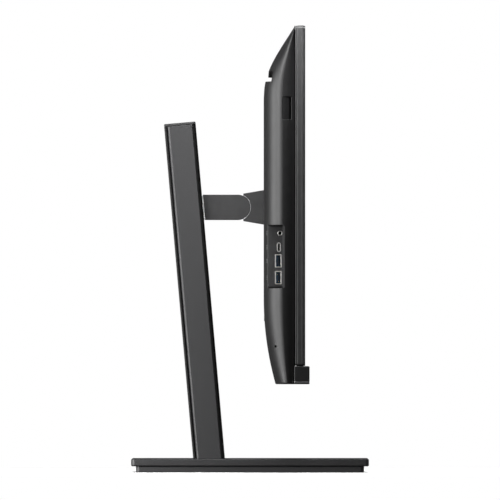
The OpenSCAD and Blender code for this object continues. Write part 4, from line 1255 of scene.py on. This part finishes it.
def studio():
    """White behind the model, a pale floor that only the overhead light reaches, soft boxes."""
    world = bpy.data.worlds.new("studio")
    scene.world = world
    world.use_nodes = True
    nodes, links = world.node_tree.nodes, world.node_tree.links
    seen, around = nodes["Background"], nodes.new("ShaderNodeBackground")
    seen.inputs["Color"].default_value = (1, 1, 1, 1)
    seen.inputs["Strength"].default_value = 1.0
    around.inputs["Color"].default_value = (1, 1, 1, 1)
    around.inputs["Strength"].default_value = 0.05
    path, mix = nodes.new("ShaderNodeLightPath"), nodes.new("ShaderNodeMixShader")
    links.new(path.outputs["Is Camera Ray"], mix.inputs[0])
    links.new(around.outputs[0], mix.inputs[1])
    links.new(seen.outputs[0], mix.inputs[2])
    links.new(mix.outputs[0], nodes["World Output"].inputs["Surface"])

    bm = bmesh.new()
    floor_r = 0.9
    bm.faces.new([bm.verts.new((x, y, 0)) for x, y in ring_outline(floor_r, steps=96)])
    mesh = bpy.data.meshes.new("studio_floor")
    bm.to_mesh(mesh)
    bm.free()
    material, paper_tree, shader = start_material("studio_paper", specular=0.2)
    space = texture_space(paper_tree)
    tooth = add_noise(paper_tree, space, 40, 2.0)
    shade = add_mix(paper_tree, tooth, (0.86, 0.86, 0.86), (0.88, 0.88, 0.88))
    paper_tree.links.new(shade, shader.inputs["Base Color"])
    shader.inputs["Roughness"].default_value = 0.9
    mesh.materials.append(material)
    floor = bpy.data.objects.new("studio_floor", mesh)
    scene.collection.objects.link(floor)
    floor.visible_diffuse = False
    floor.visible_glossy = False

    sun = bpy.data.lights.new("overhead", "SUN")
    sun.energy = 3.7
    sun.angle = math.radians(40)
    overhead = bpy.data.objects.new("overhead", sun)
    overhead.visible_glossy = False
    scene.collection.objects.link(overhead)
    paper = bpy.data.collections.new("lit_paper")
    paper.objects.link(floor)
    overhead.light_linking.receiver_collection = paper
    add_light("left_top", (-0.47, -0.02, 0.70), (-0.307, -0.02, 0.55), (0.2, 0.2), 0.76, spread=84)
    add_light("left_rear", (-0.5, 0.3, 0.6), (-0.04, 0.06, 0.3), (0.2, 0.3), 1.15)
    add_light("base_rear", (-0.36, 0.26, 0.05), (-0.14, 0.1, 0.01), (0.12, 0.06), 0.36)
    add_light("rear_box", (-0.18, 1.9, 0.35), (-0.15, 0, 0.30), (1.55, 0.9), 29, diffuse=False)
    add_light("rear_left", (-1.36, 1.39, 0.35), (-0.15, 0, 0.30), (0.75, 0.9), 20, diffuse=False)
    add_light("far_left", (-1.78, 0.85, 0.35), (-0.15, 0, 0.30), (0.5, 0.9), 10, diffuse=False)
    add_light("front_right", (1.5, -2.3, 1.3), (0, 0, 0.25), (1.6, 1.6), 55)
    scene.view_settings.view_transform = "Standard"


def camera():
    """A long lens on the computer's left, looking up by about a quarter of a degree."""
    width, distance, sensor = 0.54, 25.5, 36.0
    aim = Vector((-0.24, 0, cad_box[1].z / 2 - 0.00035))
    data = bpy.data.cameras.new("camera")
    data.sensor_width = sensor
    data.lens = sensor * distance / width
    data.clip_end = 100
    lens = bpy.data.objects.new("camera", data)
    lens.location = aim + Vector((-distance, 0, -0.12))
    lens.rotation_mode = "QUATERNION"
    lens.rotation_quaternion = (aim - lens.location).to_track_quat("-Z", "Y")
    scene.collection.objects.link(lens)
    scene.camera = lens


camera()
studio()
rear_cover()
bezel()
glass()
speaker_bar()
bar_trim()
grille()
power_button()
webcam()
webcam_shutter()
port_panel()
audio_socket()
usb_c_socket()
usb_a_socket(USB_A[0], "upper")
usb_a_socket(USB_A[1], "lower")
port_marks()
card_scoop()
base()
column()
arm()
arm_collar()
bracket()
screws()
dress_kept_nodes()
